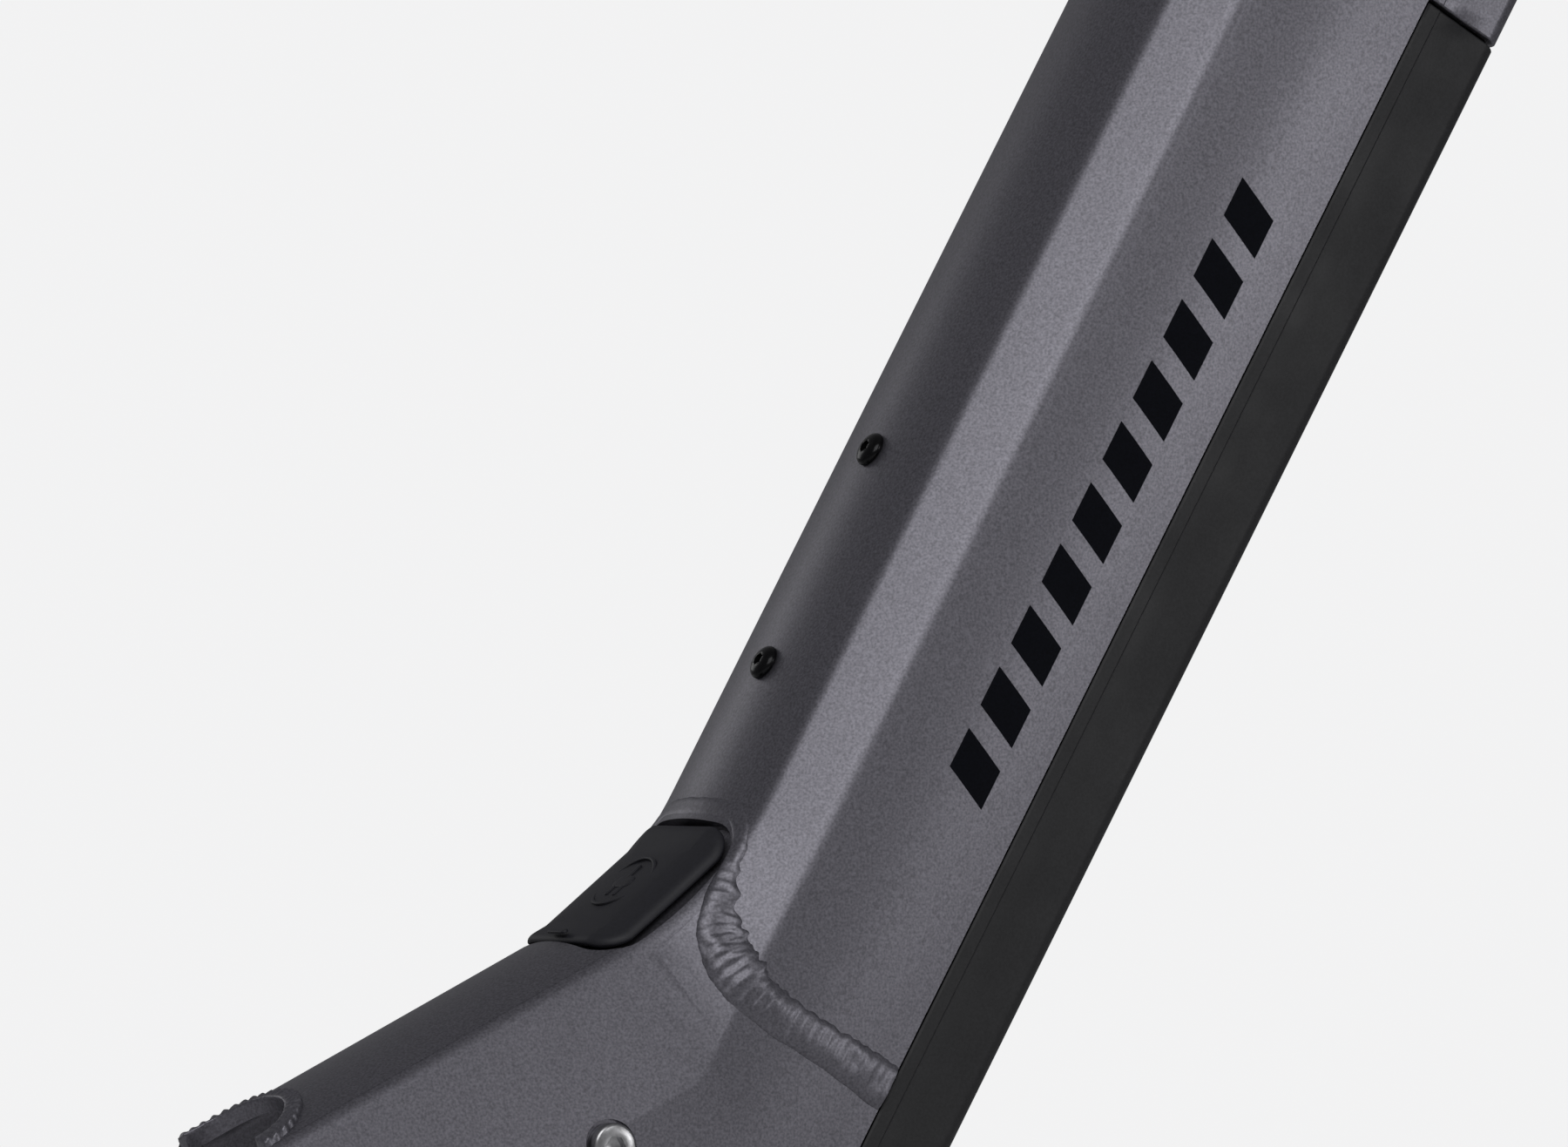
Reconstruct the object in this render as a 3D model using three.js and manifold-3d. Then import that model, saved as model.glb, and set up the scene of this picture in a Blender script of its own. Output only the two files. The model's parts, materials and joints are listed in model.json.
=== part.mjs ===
// In-tube battery unit of an electric bicycle: the down tube that houses the pack, the bracket shell
// under it with the charge port, the lock, and the removable pack with its cells and cover.
//
// Millimetres, +Z up, +X towards the front wheel, +Y to the bike's left. The tube leans, so the pieces
// are drawn in the tube's own axes: "along" runs up the tube from the lower bottle boss, "across" is
// sideways, and "height" is square to the tube, from the cover's underside to the bottle bosses.

import * as THREE from 'three';
import { mergeVertices } from 'three/addons/utils/BufferGeometryUtils.js';
import Module from 'manifold-3d';

const wasm = await Module();
wasm.setup();

const degrees = Math.PI / 180;

// ---------- driving dimensions ----------

const seatGap = 0.3;             // between two pieces that touch
const tubeLean = 60;             // degrees above the ground

const cellDiameter = 18.4;
const cellPitch = 18.9;
const cellLength = 65;
const cellRows = 13;
const cellsAcross = 3;
const nickelThickness = 0.6;
const trayThickness = 3;
const trayHoleRadius = 4.8;
const trayOverhang = 1;          // tray beyond the cells' bay
const traySideRoom = 0.5;        // tray's edge past the case's foot chamfer
const nickelInset = 2.5;         // strip's edge inside the cell pitch
const nickelSink = 0.2;          // strip into the cells' ends
const stripEnd = 5;              // strip beyond the outer cell's axis
const tabWidth = 10;

const caseWall = 2;
const caseSideRoom = 2.15;       // cells to the case's side walls
const caseEndRoom = 0.4;         // trays to the case's floor and roof
const caseTopChamfer = { across: 5, height: 6 };
const caseFootChamfer = { across: 5.5, height: 6.5 };
const boardBay = 38;             // length kept for the electronics above the cells
const cellBayMargin = 4;
const boardHeight = 34;          // board's underside above the case's
const boardThickness = 1.6;
const boardSideRoom = 4.5;
const terminalBlock = { from: 3, length: 10, across: [4, 22], height: 7 };
const chip = { from: 18, length: 8, half: 6, height: 3 };
const capacitor = { from: 24, across: 18, radius: 5, height: 14 };
const gasketThickness = 1.6;
const lowerCapLength = 28;
const lowerCapDrop = 20;         // how far the lower cap's roof falls towards its end
const lowerCapRoof = 6;          // level part of the lower cap's roof
const lowerCapBay = 12;          // hollow in the lower cap, behind its connector
const upperCapLength = 22;
const capWall = 3;

const coverWall = 2.5;
const coverCorner = 8;
const coverTopHeight = 25.5;
const coverBand = 4;             // light band along the cover's upper edge
const coverBandProud = 0.2;      // the band beyond the wall under it
const coverCrease = { height: 15, inset: 1.4 };
const coverRimInset = 0.3;       // cover's rim inside the tube's flank
const coverCornerInset = 3.5;    // the cover's corner arcs inside its flank
const coverSeam = 0.8;
const coverEndRoom = 1.2;

const tubeWall = 2.5;
const tubeSideRoom = 3.5;        // pack to the tube's side walls
const tubeTopRoom = 8.5;         // pack to the tube's roof, clear of the bottle bosses
const facetAcross = 10.5;        // sideways from the crown's ridge to the crease
const crownDrop = 4.5;
const facetDrop = 18.4;          // crown to the crease between facet and flank
const lipWidth = 2;
const lipHeight = 3;

const packFoot = -122;           // pack's lower end, along the tube from the lower bottle boss
const bossSpacing = 64;
const bossRadius = 6.5;
const bossDepth = 6;
const bottleThread = 2.5;
const bottleHeadRadius = 4.75;
const bottleHeadHeight = 2.75;
const bottleKeyRadius = 1.7;
const bottleKeyDepth = 1.8;

const pivotDrop = 9;             // pivot pin below the pack's lower end
const pivotHeight = 10;
const pivotRadius = 3;
const pivotRoom = 0.4;
const swingAngle = 15;           // degrees the pack drops out of the tube
const lugThickness = 9;
const lugOffset = 14;
const lugReach = 3.5;
const lugHalfHeight = 6;
const earThickness = 5;
const earOffset = 26.5;
const earHalfHeight = 5;
const earTip = 2;                // ear beyond the pivot pin
const mountThickness = 6;
const mountRoom = 9;             // pivot pin to the lower mount's plate
const noseRoom = 0.6;

const connectorHeight = 43;      // middle of the pack's connector
const connectorHalf = { across: 16, height: 11 };
const connectorPocket = 12;
const connectorBase = 5;         // thickness left between the connector's back and the pack's end
const plugHalf = { across: 10, height: 5 };
const plugStep = 2;              // plug's shoulder below the pack's end
const plugReach = 4;             // plug's nose past the pack's end
const plugBodyInset = 2;         // plug's body narrower than the connector's pocket

const upperRoom = 19;            // pack's upper end to the upper mount
const upperMountLength = 30;
const headEndLength = 59;        // closed tube above the cover
const bulkheadThickness = 4;
const cableHoleRadius = 8;

const lockHeight = 45;
const lockAlong = 16;            // key axis from the upper mount's lower face
const keyRadius = 8.5;
const keyRoom = 0.3;
const sleeveWall = 2.4;
const keyOrbit = 6.36;           // drive pin from the key's axis
const keyPinRadius = 1.5;
const boltSize = 9;
const boltRoom = 0.5;
const boltTravel = 9;
const strikerLength = 15;
const strikerWall = 2.4;
const strikerToBolt = 2.5;
const dustCapRadius = 12.5;
const dustCapThickness = 2;
const dustPivotRadius = 2;
const dustCapLift = 1;           // dust cap's underside off the tube's flank
const sleeveProud = 0.6;
const keyRecess = 0.5;           // key's face inside the tube's flank
const keyway = { width: 1.6, height: 8, depth: 8.5 };
const keyToBolt = 2.5;           // bolt's side to the key's inner end
const boltBridge = 3;            // bolt beyond the key pin's slot
const upperMountFloor = 3;       // bolt's bore to the upper mount's upper end

const boreOverrun = 12;          // the tube's bore is drawn this far past its open side
const bracketWall = 3.5;
const bracketFoot = 28;          // bracket's lower end beyond the pack's lower end
const armAngle = 34;             // degrees that the arm bends away from the tube
const bendStart = -36;
const bendRadius = 95;
const sweepSteps = 28;
const armOverrun = 30;           // arm's sweep past the seat tube's axis, where it is cut off
const armCreaseDrop = 42;        // top of the arm to the crease
const armSkirt = 120;
const motorBayFloor = -150;      // level of the bracket's lower edge, from the lower bottle boss
const seatTubeRadius = 18.5;
const seatTubeLean = 65;
const seatTubeSite = { x: -172, z: -99 };

const weldFlank = { upper: -84, lower: -94 };
const weldTongueLap = 1;         // the tongue's weld beyond the crown's ridge
const weldTongueWidth = 3;
const weldProud = 0.8;
const seatWeldWidth = 5;

const flapLength = 49;
const flapWidth = 47;
const flapCorner = 9;
const flapFromBend = 12;         // flap's upper end, along the bend from its start
const flapRoom = 1.2;
const flapProud = 2;
const flapDepth = 0.9;
const recessDepth = 2.2;
const portFromFlap = 30;         // socket's axis from the flap's upper end, along the bend

const socketRadius = 11.2;
const socketBore = 9.2;
const socketDepth = 13;
const socketFloor = 2.6;
const socketFlange = { radius: 14, top: -5, thickness: 2.4 };
const bezelOuter = 13.2;
const bezelInner = 9.6;
const bezelDepth = { top: 1.2, foot: 1.9 };
const contactRadius = 1.3;
const contactBase = 0.9;
const contactHeight = 2;
const contactCircle = 4.8;
const contactCount = 4;
const leadRadius = 2.4;

const motorBoltSites = [{ x: -68, z: -124 }, { x: -128, z: -138 }];
const motorBoltRadius = 4;
const motorHeadRadius = 6.2;
const motorHeadHeight = 4.2;
const motorKeyRadius = 2.6;
const motorKeyDepth = 3;
const motorShank = 14;
const motorHeadRoom = 1;
const motorSpotFace = 1.6;       // depth of the flat seat under a motor bolt's head

const buttonRadius = 7;
const buttonRoom = 0.4;
const buttonTravel = 1;
const buttonStop = 0.6;          // pressed button to the case
const buttonFlange = { width: 1.4, thickness: 1.6 };
const buttonFromCaseEnd = 10;
const windowFromButton = 8;
const windowLength = 26;
const windowWidth = 6;
const windowStand = 1.5;         // window's inner face above the cover's floor
const railAcross = [14, 24];
const railFromCaseEnd = 15;

// ---------- derived sizes ----------

const cellsWidth = cellsAcross * cellPitch;
const packWidth = cellsWidth + 2 * (caseSideRoom + caseWall);
const cellStack = cellLength + nickelThickness + 2 * (trayThickness + seatGap);
const packDepth = cellStack + 2 * (caseEndRoom + caseWall);
const caseLength = cellRows * cellPitch + boardBay + 2 * cellBayMargin;
const coverRoom = seatGap + buttonFlange.thickness + buttonTravel + buttonStop;
const packBottom = coverWall + coverRoom;
const packTop = packBottom + packDepth;
const depth = packTop + tubeTopRoom + tubeWall;
const width = packWidth + 2 * (tubeSideRoom + tubeWall);
const crownHalf = width / 2 - facetAcross;
const weldTongue = crownHalf + weldTongueLap;
const seamHeight = coverTopHeight + coverSeam;

const caseStart = packFoot + lowerCapLength + gasketThickness;
const caseEnd = caseStart + caseLength;
const buttonAlong = caseEnd - buttonFromCaseEnd;
const windowAlong = buttonAlong - buttonRadius - windowFromButton - windowLength;
const packHead = caseEnd + gasketThickness + upperCapLength;
const pivotAlong = packFoot - pivotDrop;
const coverStart = pivotAlong + pivotRadius;
const bracketEnd = packFoot - bracketFoot;
const mountFace = pivotAlong - mountRoom;
const upperFace = packHead + upperRoom;
const coverEnd = upperFace - 2 * coverEndRoom;
const tubeEnd = coverEnd + coverEndRoom + headEndLength;
const keyAlong = upperFace + lockAlong;
const keyFoot = boltSize / 2 + keyToBolt;
const boltCentre = lockHeight - keyOrbit;
const pinAlong = keyAlong + keyOrbit * Math.sin(45 * degrees);
const pinHeight = lockHeight - keyOrbit * Math.cos(45 * degrees);
const strikerEnd = packHead + seatGap + strikerLength;
const boltTip = strikerEnd + strikerToBolt;
const boreFoot = seamHeight - boreOverrun;
const noseEnd = coverStart - pivotHeight * Math.sin(swingAngle * degrees) - noseRoom;

// ---------- shape helpers ----------

const points = (pairs) => pairs.map(([x, y]) => new THREE.Vector2(x, y));

// Closes a right-hand outline, drawn counter-clockwise from its foot, with its mirror image.
function mirrored(half) {
  const left = half.filter((point) => point.x > 0).map((point) => new THREE.Vector2(-point.x, point.y));
  return [...half, ...left.reverse()];
}

function crossing(first, second) {
  const turn = first.run.x * second.run.y - first.run.y * second.run.x;
  if (Math.abs(turn) < 1e-9) return second.point.clone();
  const gap = second.point.clone().sub(first.point);
  const reach = (gap.x * second.run.y - gap.y * second.run.x) / turn;
  return first.point.clone().addScaledVector(first.run, reach);
}

// Moves every side of a counter-clockwise outline inwards; a negative distance moves it outwards.
function inset(outline, distance) {
  const count = outline.length;
  const sides = outline.map((point, index) => {
    const run = outline[(index + 1) % count].clone().sub(point).normalize();
    const inward = new THREE.Vector2(-run.y, run.x);
    return { point: point.clone().addScaledVector(inward, distance), run };
  });
  return sides.map((side, index) => crossing(sides[(index + count - 1) % count], side));
}

function arc(centreX, centreY, radius, from, to, steps) {
  return Array.from({ length: steps + 1 }, (_, index) => {
    const angle = (from + (to - from) * (index / steps)) * degrees;
    return new THREE.Vector2(centreX + radius * Math.cos(angle), centreY + radius * Math.sin(angle));
  });
}

function roundedRectangle(lowX, highX, lowY, highY, radius, steps) {
  return [
    ...arc(highX - radius, lowY + radius, radius, -90, 0, steps),
    ...arc(highX - radius, highY - radius, radius, 0, 90, steps),
    ...arc(lowX + radius, highY - radius, radius, 90, 180, steps),
    ...arc(lowX + radius, lowY + radius, radius, 180, 270, steps),
  ];
}

function extruded(outline, length) {
  return new THREE.ExtrudeGeometry(new THREE.Shape(outline), { depth: length, bevelEnabled: false });
}

function solid(geometry) {
  const bare = geometry.clone();
  bare.deleteAttribute('normal');
  bare.deleteAttribute('uv');
  const merged = mergeVertices(bare, 1e-4);
  return new wasm.Manifold(new wasm.Mesh({
    numProp: 3,
    vertProperties: Float32Array.from(merged.attributes.position.array),
    triVerts: Uint32Array.from(merged.index.array),
  }));
}

function geometryOf(shape) {
  const mesh = shape.getMesh();
  const geometry = new THREE.BufferGeometry();
  geometry.setAttribute('position', new THREE.BufferAttribute(new Float32Array(mesh.vertProperties), 3));
  geometry.setIndex(new THREE.BufferAttribute(new Uint32Array(mesh.triVerts), 1));
  geometry.computeVertexNormals();
  return geometry;
}

// A prism along the tube, from a section drawn as (across, height).
function alongPrism(outline, from, to) {
  const turn = new THREE.Matrix4().makeBasis(
    new THREE.Vector3(0, 1, 0), new THREE.Vector3(0, 0, 1), new THREE.Vector3(1, 0, 0));
  return solid(extruded(outline, to - from).applyMatrix4(turn).translate(from, 0, 0));
}

// A prism across the tube, from a side view drawn as (along, height).
function acrossPrism(outline, from, to) {
  return solid(extruded(outline, to - from).rotateX(90 * degrees).translate(0, to, 0));
}

function planPrism(outline, from, to) {
  return solid(extruded(outline, to - from).translate(0, 0, from));
}

function block(along, across, height) {
  const geometry = new THREE.BoxGeometry(along[1] - along[0], across[1] - across[0], height[1] - height[0]);
  return solid(geometry.translate(
    (along[0] + along[1]) / 2, (across[0] + across[1]) / 2, (height[0] + height[1]) / 2));
}

function rodAcross(along, height, radius, from, to, sides = 24) {
  const geometry = new THREE.CylinderGeometry(radius, radius, to - from, sides);
  return solid(geometry.translate(along, (from + to) / 2, height));
}

function rodUp(along, across, radius, from, to, sides = 24) {
  const geometry = new THREE.CylinderGeometry(radius, radius, to - from, sides).rotateX(90 * degrees);
  return solid(geometry.translate(along, across, (from + to) / 2));
}

const union = (shapes) => shapes.reduce((sum, shape) => sum.add(shape));

// A place given level and upright from the lower bottle boss, in the tube's own axes.
function site(x, z) {
  const lean = tubeLean * degrees;
  return [
    x * Math.cos(lean) + z * Math.sin(lean),
    depth - x * Math.sin(lean) + z * Math.cos(lean),
  ];
}

// ---------- finishes ----------

const finishes = {
  framePaint: { color: 0x5b5a60, roughness: 0.42, metalness: 0.55 },
  coverPlastic: { color: 0x26262a, roughness: 0.6, metalness: 0 },
  darkPlastic: { color: 0x1c1d20, roughness: 0.55, metalness: 0 },
  flapRubber: { color: 0x1a1a20, roughness: 0.7, metalness: 0 },
  blackSteel: { color: 0x141416, roughness: 0.3, metalness: 0.9 },
  silverSteel: { color: 0xa7a8ab, roughness: 0.35, metalness: 1 },
  caseAlloy: { color: 0x3a3c40, roughness: 0.45, metalness: 0.8 },
  cellSleeve: { color: 0x2f6f8f, roughness: 0.5, metalness: 0 },
  trayPlastic: { color: 0xd8d8d2, roughness: 0.6, metalness: 0 },
  boardGreen: { color: 0x1d5b3a, roughness: 0.5, metalness: 0 },
  brassContact: { color: 0xb79a5a, roughness: 0.35, metalness: 1 },
  gasketRubber: { color: 0x2b2b2b, roughness: 0.85, metalness: 0 },
  windowPlastic: { color: 0x5f6a70, roughness: 0.15, metalness: 0 },
};

const unit = new THREE.Group();
const tubeAxes = new THREE.Group();
tubeAxes.rotation.y = -tubeLean * degrees;
const bulkheadCentre = new THREE.Vector3(tubeEnd, 0, depth / 2);
tubeAxes.position.copy(bulkheadCentre).applyEuler(tubeAxes.rotation).negate();
unit.add(tubeAxes);

function addPiece(name, shape, finish, parent = tubeAxes) {
  const mesh = new THREE.Mesh(geometryOf(shape), new THREE.MeshStandardMaterial(finishes[finish]));
  mesh.name = name;
  parent.add(mesh);
}

// ---------- sections ----------

// The crown is an arc with a flat strip at its middle, where the bottle bosses sit.
function crownPoints(top) {
  const radius = (crownHalf ** 2 + crownDrop ** 2) / (2 * crownDrop);
  const stations = [crownHalf, crownHalf * 5 / 7, crownHalf * 3 / 7, crownHalf / 7];
  return stations.map((across) => [across, top - across ** 2 / (2 * radius)]);
}

function tubeOutline(foot) {
  const top = depth;
  return mirrored(points([[width / 2, foot], [width / 2, top - facetDrop], ...crownPoints(top)]));
}

function armOutline() {
  return mirrored(points([[width / 2, -armSkirt], [width / 2, -armCreaseDrop], ...crownPoints(0)]));
}

function coverOutline(top) {
  const side = width / 2;
  const bandFoot = coverTopHeight - coverBand;
  return mirrored([
    ...arc(side - coverCorner - coverCornerInset, coverCorner, coverCorner, -90, -8, 4),
    ...points([
      [side - coverCrease.inset, coverCrease.height],
      [side - coverRimInset - coverBandProud, bandFoot],
      [side - coverRimInset, top],
    ]),
  ]);
}

function packOutline() {
  const side = packWidth / 2;
  return mirrored(points([
    [side - caseFootChamfer.across, packBottom],
    [side, packBottom + caseFootChamfer.height],
    [side, packTop - caseTopChamfer.height],
    [side - caseTopChamfer.across, packTop],
  ]));
}

// ---------- the bend and the arm ----------

// A place on the bend, this far along it from its start, with the turn there in radians.
function onBend(run) {
  const turn = run / bendRadius;
  return {
    along: bendStart - bendRadius * Math.sin(turn),
    height: depth + bendRadius * (1 - Math.cos(turn)),
    turn,
  };
}

const bendLength = bendRadius * armAngle * degrees;

// Straight length of the arm's sweep, from the bend's end to beyond the seat tube.
function armLength() {
  const end = onBend(bendLength);
  const [along, height] = site(seatTubeSite.x, seatTubeSite.z);
  const toSeatTube = (end.along - along) * Math.cos(end.turn) + (height - end.height) * Math.sin(end.turn);
  return toSeatTube + armOverrun;
}

const armReach = armLength();

class ArmPath extends THREE.Curve {
  getPoint(t, target = new THREE.Vector3()) {
    const run = t * (bendLength + armReach);
    const turned = Math.min(run / bendRadius, armAngle * degrees);
    const straight = Math.max(run - bendLength, 0);
    return target.set(
      bendStart - bendRadius * Math.sin(turned) - straight * Math.cos(turned), 0,
      depth + bendRadius * (1 - Math.cos(turned)) + straight * Math.sin(turned));
  }
}

function armSweep(outline) {
  const along = { steps: sweepSteps, extrudePath: new ArmPath() };
  const sweep = new THREE.ExtrudeGeometry(new THREE.Shape(outline), along);
  return solid(sweep);
}

function seatTube(radius) {
  const geometry = new THREE.CylinderGeometry(radius, radius, 240, 40);
  const [along, height] = site(seatTubeSite.x, seatTubeSite.z);
  geometry.rotateX(90 * degrees);
  geometry.rotateY((tubeLean + seatTubeLean - 90) * degrees);
  return solid(geometry.translate(along, 0, height));
}

function rodAlong(across, height, radius, from, to, sides = 20) {
  const geometry = new THREE.CylinderGeometry(radius, radius, to - from, sides).rotateZ(90 * degrees);
  return solid(geometry.translate((from + to) / 2, across, height));
}

// Both of a pair of blocks that mirror each other across the tube.
function pair(along, across, height) {
  return block(along, across, height).add(block(along, [-across[1], -across[0]], height));
}

// ---------- envelopes shared by the tube, the bracket and the weld between them ----------

const farUp = 60;
const farDown = -400;
const farSide = 60;

function straightEnvelope(shrink, from, to) {
  return alongPrism(inset(tubeOutline(seamHeight - shrink), shrink), from, to);
}

// What is below the weld line in plan: the whole width under the flanks, and a tongue up to the bend.
function planBelowWeld(flankAt, tongueAt, tongueHalf) {
  return planPrism(points([
    [farDown, -farSide], [flankAt, -farSide], [flankAt, -tongueHalf], [tongueAt, -tongueHalf],
    [tongueAt, tongueHalf], [flankAt, tongueHalf], [flankAt, farSide], [farDown, farSide],
  ]), seamHeight, 4 * depth);
}

// Side view of what the bracket keeps: forward of the seat tube's axis and above the motor bay's edge.
function bracketSide() {
  const lean = seatTubeLean * degrees;
  const onSeatTube = (z) => [seatTubeSite.x - (z - seatTubeSite.z) / Math.tan(lean), z];
  const cornerAcross = (bracketEnd * Math.sin(tubeLean * degrees) - motorBayFloor)
    / Math.cos(tubeLean * degrees);
  return acrossPrism(points([
    [bendStart, seamHeight], [bendStart, 4 * depth], site(...onSeatTube(farUp)),
    site(...onSeatTube(motorBayFloor)), [bracketEnd, depth - cornerAcross], [bracketEnd, seamHeight],
  ]).reverse(), -farSide, farSide);
}

const armBore = armSweep(inset(armOutline(), bracketWall));
const bracketBore = armBore.add(
  alongPrism(inset(tubeOutline(boreFoot), bracketWall), bracketEnd - 1, bendStart + 1));

// ---------- charge port axes ----------

const portPlace = onBend(flapFromBend + portFromFlap);
const portMatrix = new THREE.Matrix4().makeRotationY(portPlace.turn);
portMatrix.setPosition(portPlace.along, 0, portPlace.height);

const portAxes = new THREE.Group();
portAxes.position.set(portPlace.along, 0, portPlace.height);
portAxes.rotation.y = portPlace.turn;
tubeAxes.add(portAxes);

function portPrism(outline, from, to) {
  return solid(extruded(outline, to - from).translate(0, 0, from).applyMatrix4(portMatrix));
}

function portRound(radius, from, to, sides = 32) {
  const geometry = new THREE.CylinderGeometry(radius, radius, to - from, sides).rotateX(90 * degrees);
  return geometry.translate(0, 0, (from + to) / 2);
}

const flapOutline = roundedRectangle(
  portFromFlap - flapLength, portFromFlap, -flapWidth / 2, flapWidth / 2, flapCorner, 5);

// ---------- tube and bracket ----------

function downTubeShell() {
  const foot = weldFlank.upper;
  const bore = alongPrism(inset(tubeOutline(boreFoot), tubeWall), foot - 1, tubeEnd + 1);
  const innerSide = width / 2 - tubeWall;
  const lips = pair([foot, tubeEnd], [innerSide - lipWidth, innerSide + tubeWall / 2],
    [seamHeight, seamHeight + lipHeight]);
  const bossHoles = [0, bossSpacing].map((along) => rodUp(
    along, 0, bottleThread + seatGap, depth - 3 * tubeWall, depth + 1));
  const keyHole = rodAcross(keyAlong, lockHeight, keyRadius + keyRoom + sleeveWall + seatGap,
    innerSide - lipWidth - 1, width / 2 + 1, 32);
  const dustHole = rodAcross(keyAlong + dustCapRadius + 2 * dustPivotRadius, lockHeight,
    dustPivotRadius + seatGap, innerSide - 1, width / 2 + 1, 16);
  return straightEnvelope(0, foot, tubeEnd)
    .subtract(bore)
    .add(lips)
    .subtract(planBelowWeld(weldFlank.upper, bendStart, weldTongue))
    .subtract(union([...bossHoles, keyHole, dustHole]));
}

// How far out the bracket's leaning flank stands at a place given as (along, height).
function flankAcross([along, height]) {
  const bendEnd = onBend(bendLength);
  const drop = -(along - bendEnd.along) * Math.sin(bendEnd.turn)
    - (height - bendEnd.height) * Math.cos(bendEnd.turn);
  const share = Math.min((drop - crownDrop) / (armCreaseDrop - crownDrop), 1);
  return crownHalf + share * (width / 2 - crownHalf);
}

const motorBolts = motorBoltSites.map(({ x, z }) => {
  const [along, height] = site(x, z);
  return { along, height, seat: flankAcross([along, height]) - motorSpotFace };
});

function bracketShell() {
  const body = straightEnvelope(0, bracketEnd, bendStart).add(armSweep(armOutline()));
  const recess = portPrism(inset(flapOutline, -flapRoom), -20, 30)
    .subtract(armSweep(inset(armOutline(), recessDepth)));
  const portHole = solid(portRound(socketRadius + seatGap, -20, 10).applyMatrix4(portMatrix));
  const boltHoles = motorBolts.flatMap(({ along, height, seat }) => [
    rodAcross(along, height, motorBoltRadius + seatGap, -farSide, farSide),
    rodAcross(along, height, motorHeadRadius + motorHeadRoom, seat, farSide),
    rodAcross(along, height, motorHeadRadius + motorHeadRoom, -farSide, -seat),
  ]);
  const plan = planBelowWeld(weldFlank.lower, bendStart - weldTongueWidth, weldTongue - weldTongueWidth);
  return body
    .intersect(bracketSide())
    .intersect(plan)
    .subtract(bracketBore)
    .subtract(seatTube(seatTubeRadius + seatWeldWidth + seatGap))
    .subtract(recess)
    .subtract(union([portHole, ...boltHoles]));
}

function tubeWeld() {
  const { upper, lower } = weldFlank;
  const inner = weldTongue - weldTongueWidth;
  return straightEnvelope(-weldProud, lower - 1, bendStart)
    .add(armSweep(inset(armOutline(), -weldProud)))
    .intersect(bracketSide())
    .intersect(planBelowWeld(upper - seatGap, bendStart - seatGap, weldTongue - seatGap))
    .subtract(planBelowWeld(lower + seatGap, bendStart - weldTongueWidth + seatGap, inner + seatGap))
    .subtract(bracketBore);
}

function seatTubeWeld() {
  return armSweep(inset(armOutline(), -weldProud))
    .intersect(bracketSide())
    .intersect(seatTube(seatTubeRadius + seatWeldWidth))
    .subtract(bracketBore)
    .subtract(seatTube(seatTubeRadius + seatGap));
}

addPiece('down_tube_shell', downTubeShell(), 'framePaint');
addPiece('bracket_shell', bracketShell(), 'framePaint');
addPiece('tube_weld', tubeWeld(), 'framePaint');
addPiece('seat_tube_weld', seatTubeWeld(), 'framePaint');

// ---------- closed upper end of the tube ----------

function coverChannel(top, from, to) {
  return alongPrism(coverOutline(top), from, to)
    .subtract(alongPrism(inset(coverOutline(top + farUp), coverWall), from - 1, to + 1));
}

function endBulkhead() {
  const plate = inset(tubeOutline(seamHeight + lipHeight), tubeWall + seatGap);
  return alongPrism(plate, tubeEnd - bulkheadThickness, tubeEnd)
    .subtract(rodAlong(0, packTop - 2 * cableHoleRadius, cableHoleRadius, tubeEnd - 10, tubeEnd + 1));
}

addPiece('head_end_channel', coverChannel(seamHeight - seatGap, coverEnd + coverEndRoom, tubeEnd),
  'framePaint');
addPiece('end_bulkhead', endBulkhead(), 'framePaint');

// ---------- bottle bosses and bolts ----------

function bottleBolt(along) {
  const underHead = depth + seatGap / 2;
  const tip = depth - tubeWall - bossDepth;
  return rodUp(along, 0, bottleHeadRadius, underHead, underHead + bottleHeadHeight)
    .add(rodUp(along, 0, bottleThread, tip, underHead + 1))
    .subtract(rodUp(along, 0, bottleKeyRadius, underHead + bottleHeadHeight - bottleKeyDepth, 2 * depth, 6));
}

function bottleBoss(along) {
  const top = depth - tubeWall - 2 * seatGap;
  return rodUp(along, 0, bossRadius, top - bossDepth, top)
    .subtract(rodUp(along, 0, bottleThread + seatGap, top - 2 * bossDepth, top + 1));
}

[['lower', 0], ['upper', bossSpacing]].forEach(([end, along]) => {
  addPiece(`bottle_boss_${end}`, bottleBoss(along), 'silverSteel');
  addPiece(`bottle_bolt_${end}`, bottleBolt(along), 'blackSteel');
});

// ---------- motor bolts ----------

function motorBolt({ along, height, seat }, side) {
  const underHead = seat + seatGap;
  const shank = [underHead - motorShank, underHead + 1];
  const head = [underHead, underHead + motorHeadHeight];
  const key = [underHead + motorHeadHeight - motorKeyDepth, farSide];
  const faced = (span) => (side > 0 ? span : [-span[1], -span[0]]);
  return rodAcross(along, height, motorHeadRadius, ...faced(head))
    .add(rodAcross(along, height, motorBoltRadius, ...faced(shank)))
    .subtract(rodAcross(along, height, motorKeyRadius, ...faced(key), 6));
}

[['front', motorBolts[0]], ['rear', motorBolts[1]]].forEach(([end, place]) => {
  addPiece(`motor_bolt_${end}_right`, motorBolt(place, -1), 'silverSteel');
  addPiece(`motor_bolt_${end}_left`, motorBolt(place, 1), 'silverSteel');
});

// ---------- charge port ----------

function conformal(outer, inner, high, low) {
  const ring = solid(outer.applyMatrix4(portMatrix)).subtract(solid(inner.applyMatrix4(portMatrix)));
  return ring
    .intersect(armSweep(inset(armOutline(), high)))
    .subtract(armSweep(inset(armOutline(), low)));
}

function chargeBezel() {
  return conformal(portRound(bezelOuter, -10, 10), portRound(bezelInner, -11, 11),
    bezelDepth.top, bezelDepth.foot);
}

function chargeFlap() {
  return portPrism(flapOutline, -20, 20)
    .intersect(armSweep(inset(armOutline(), -flapProud)))
    .subtract(armSweep(inset(armOutline(), flapDepth)));
}

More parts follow.
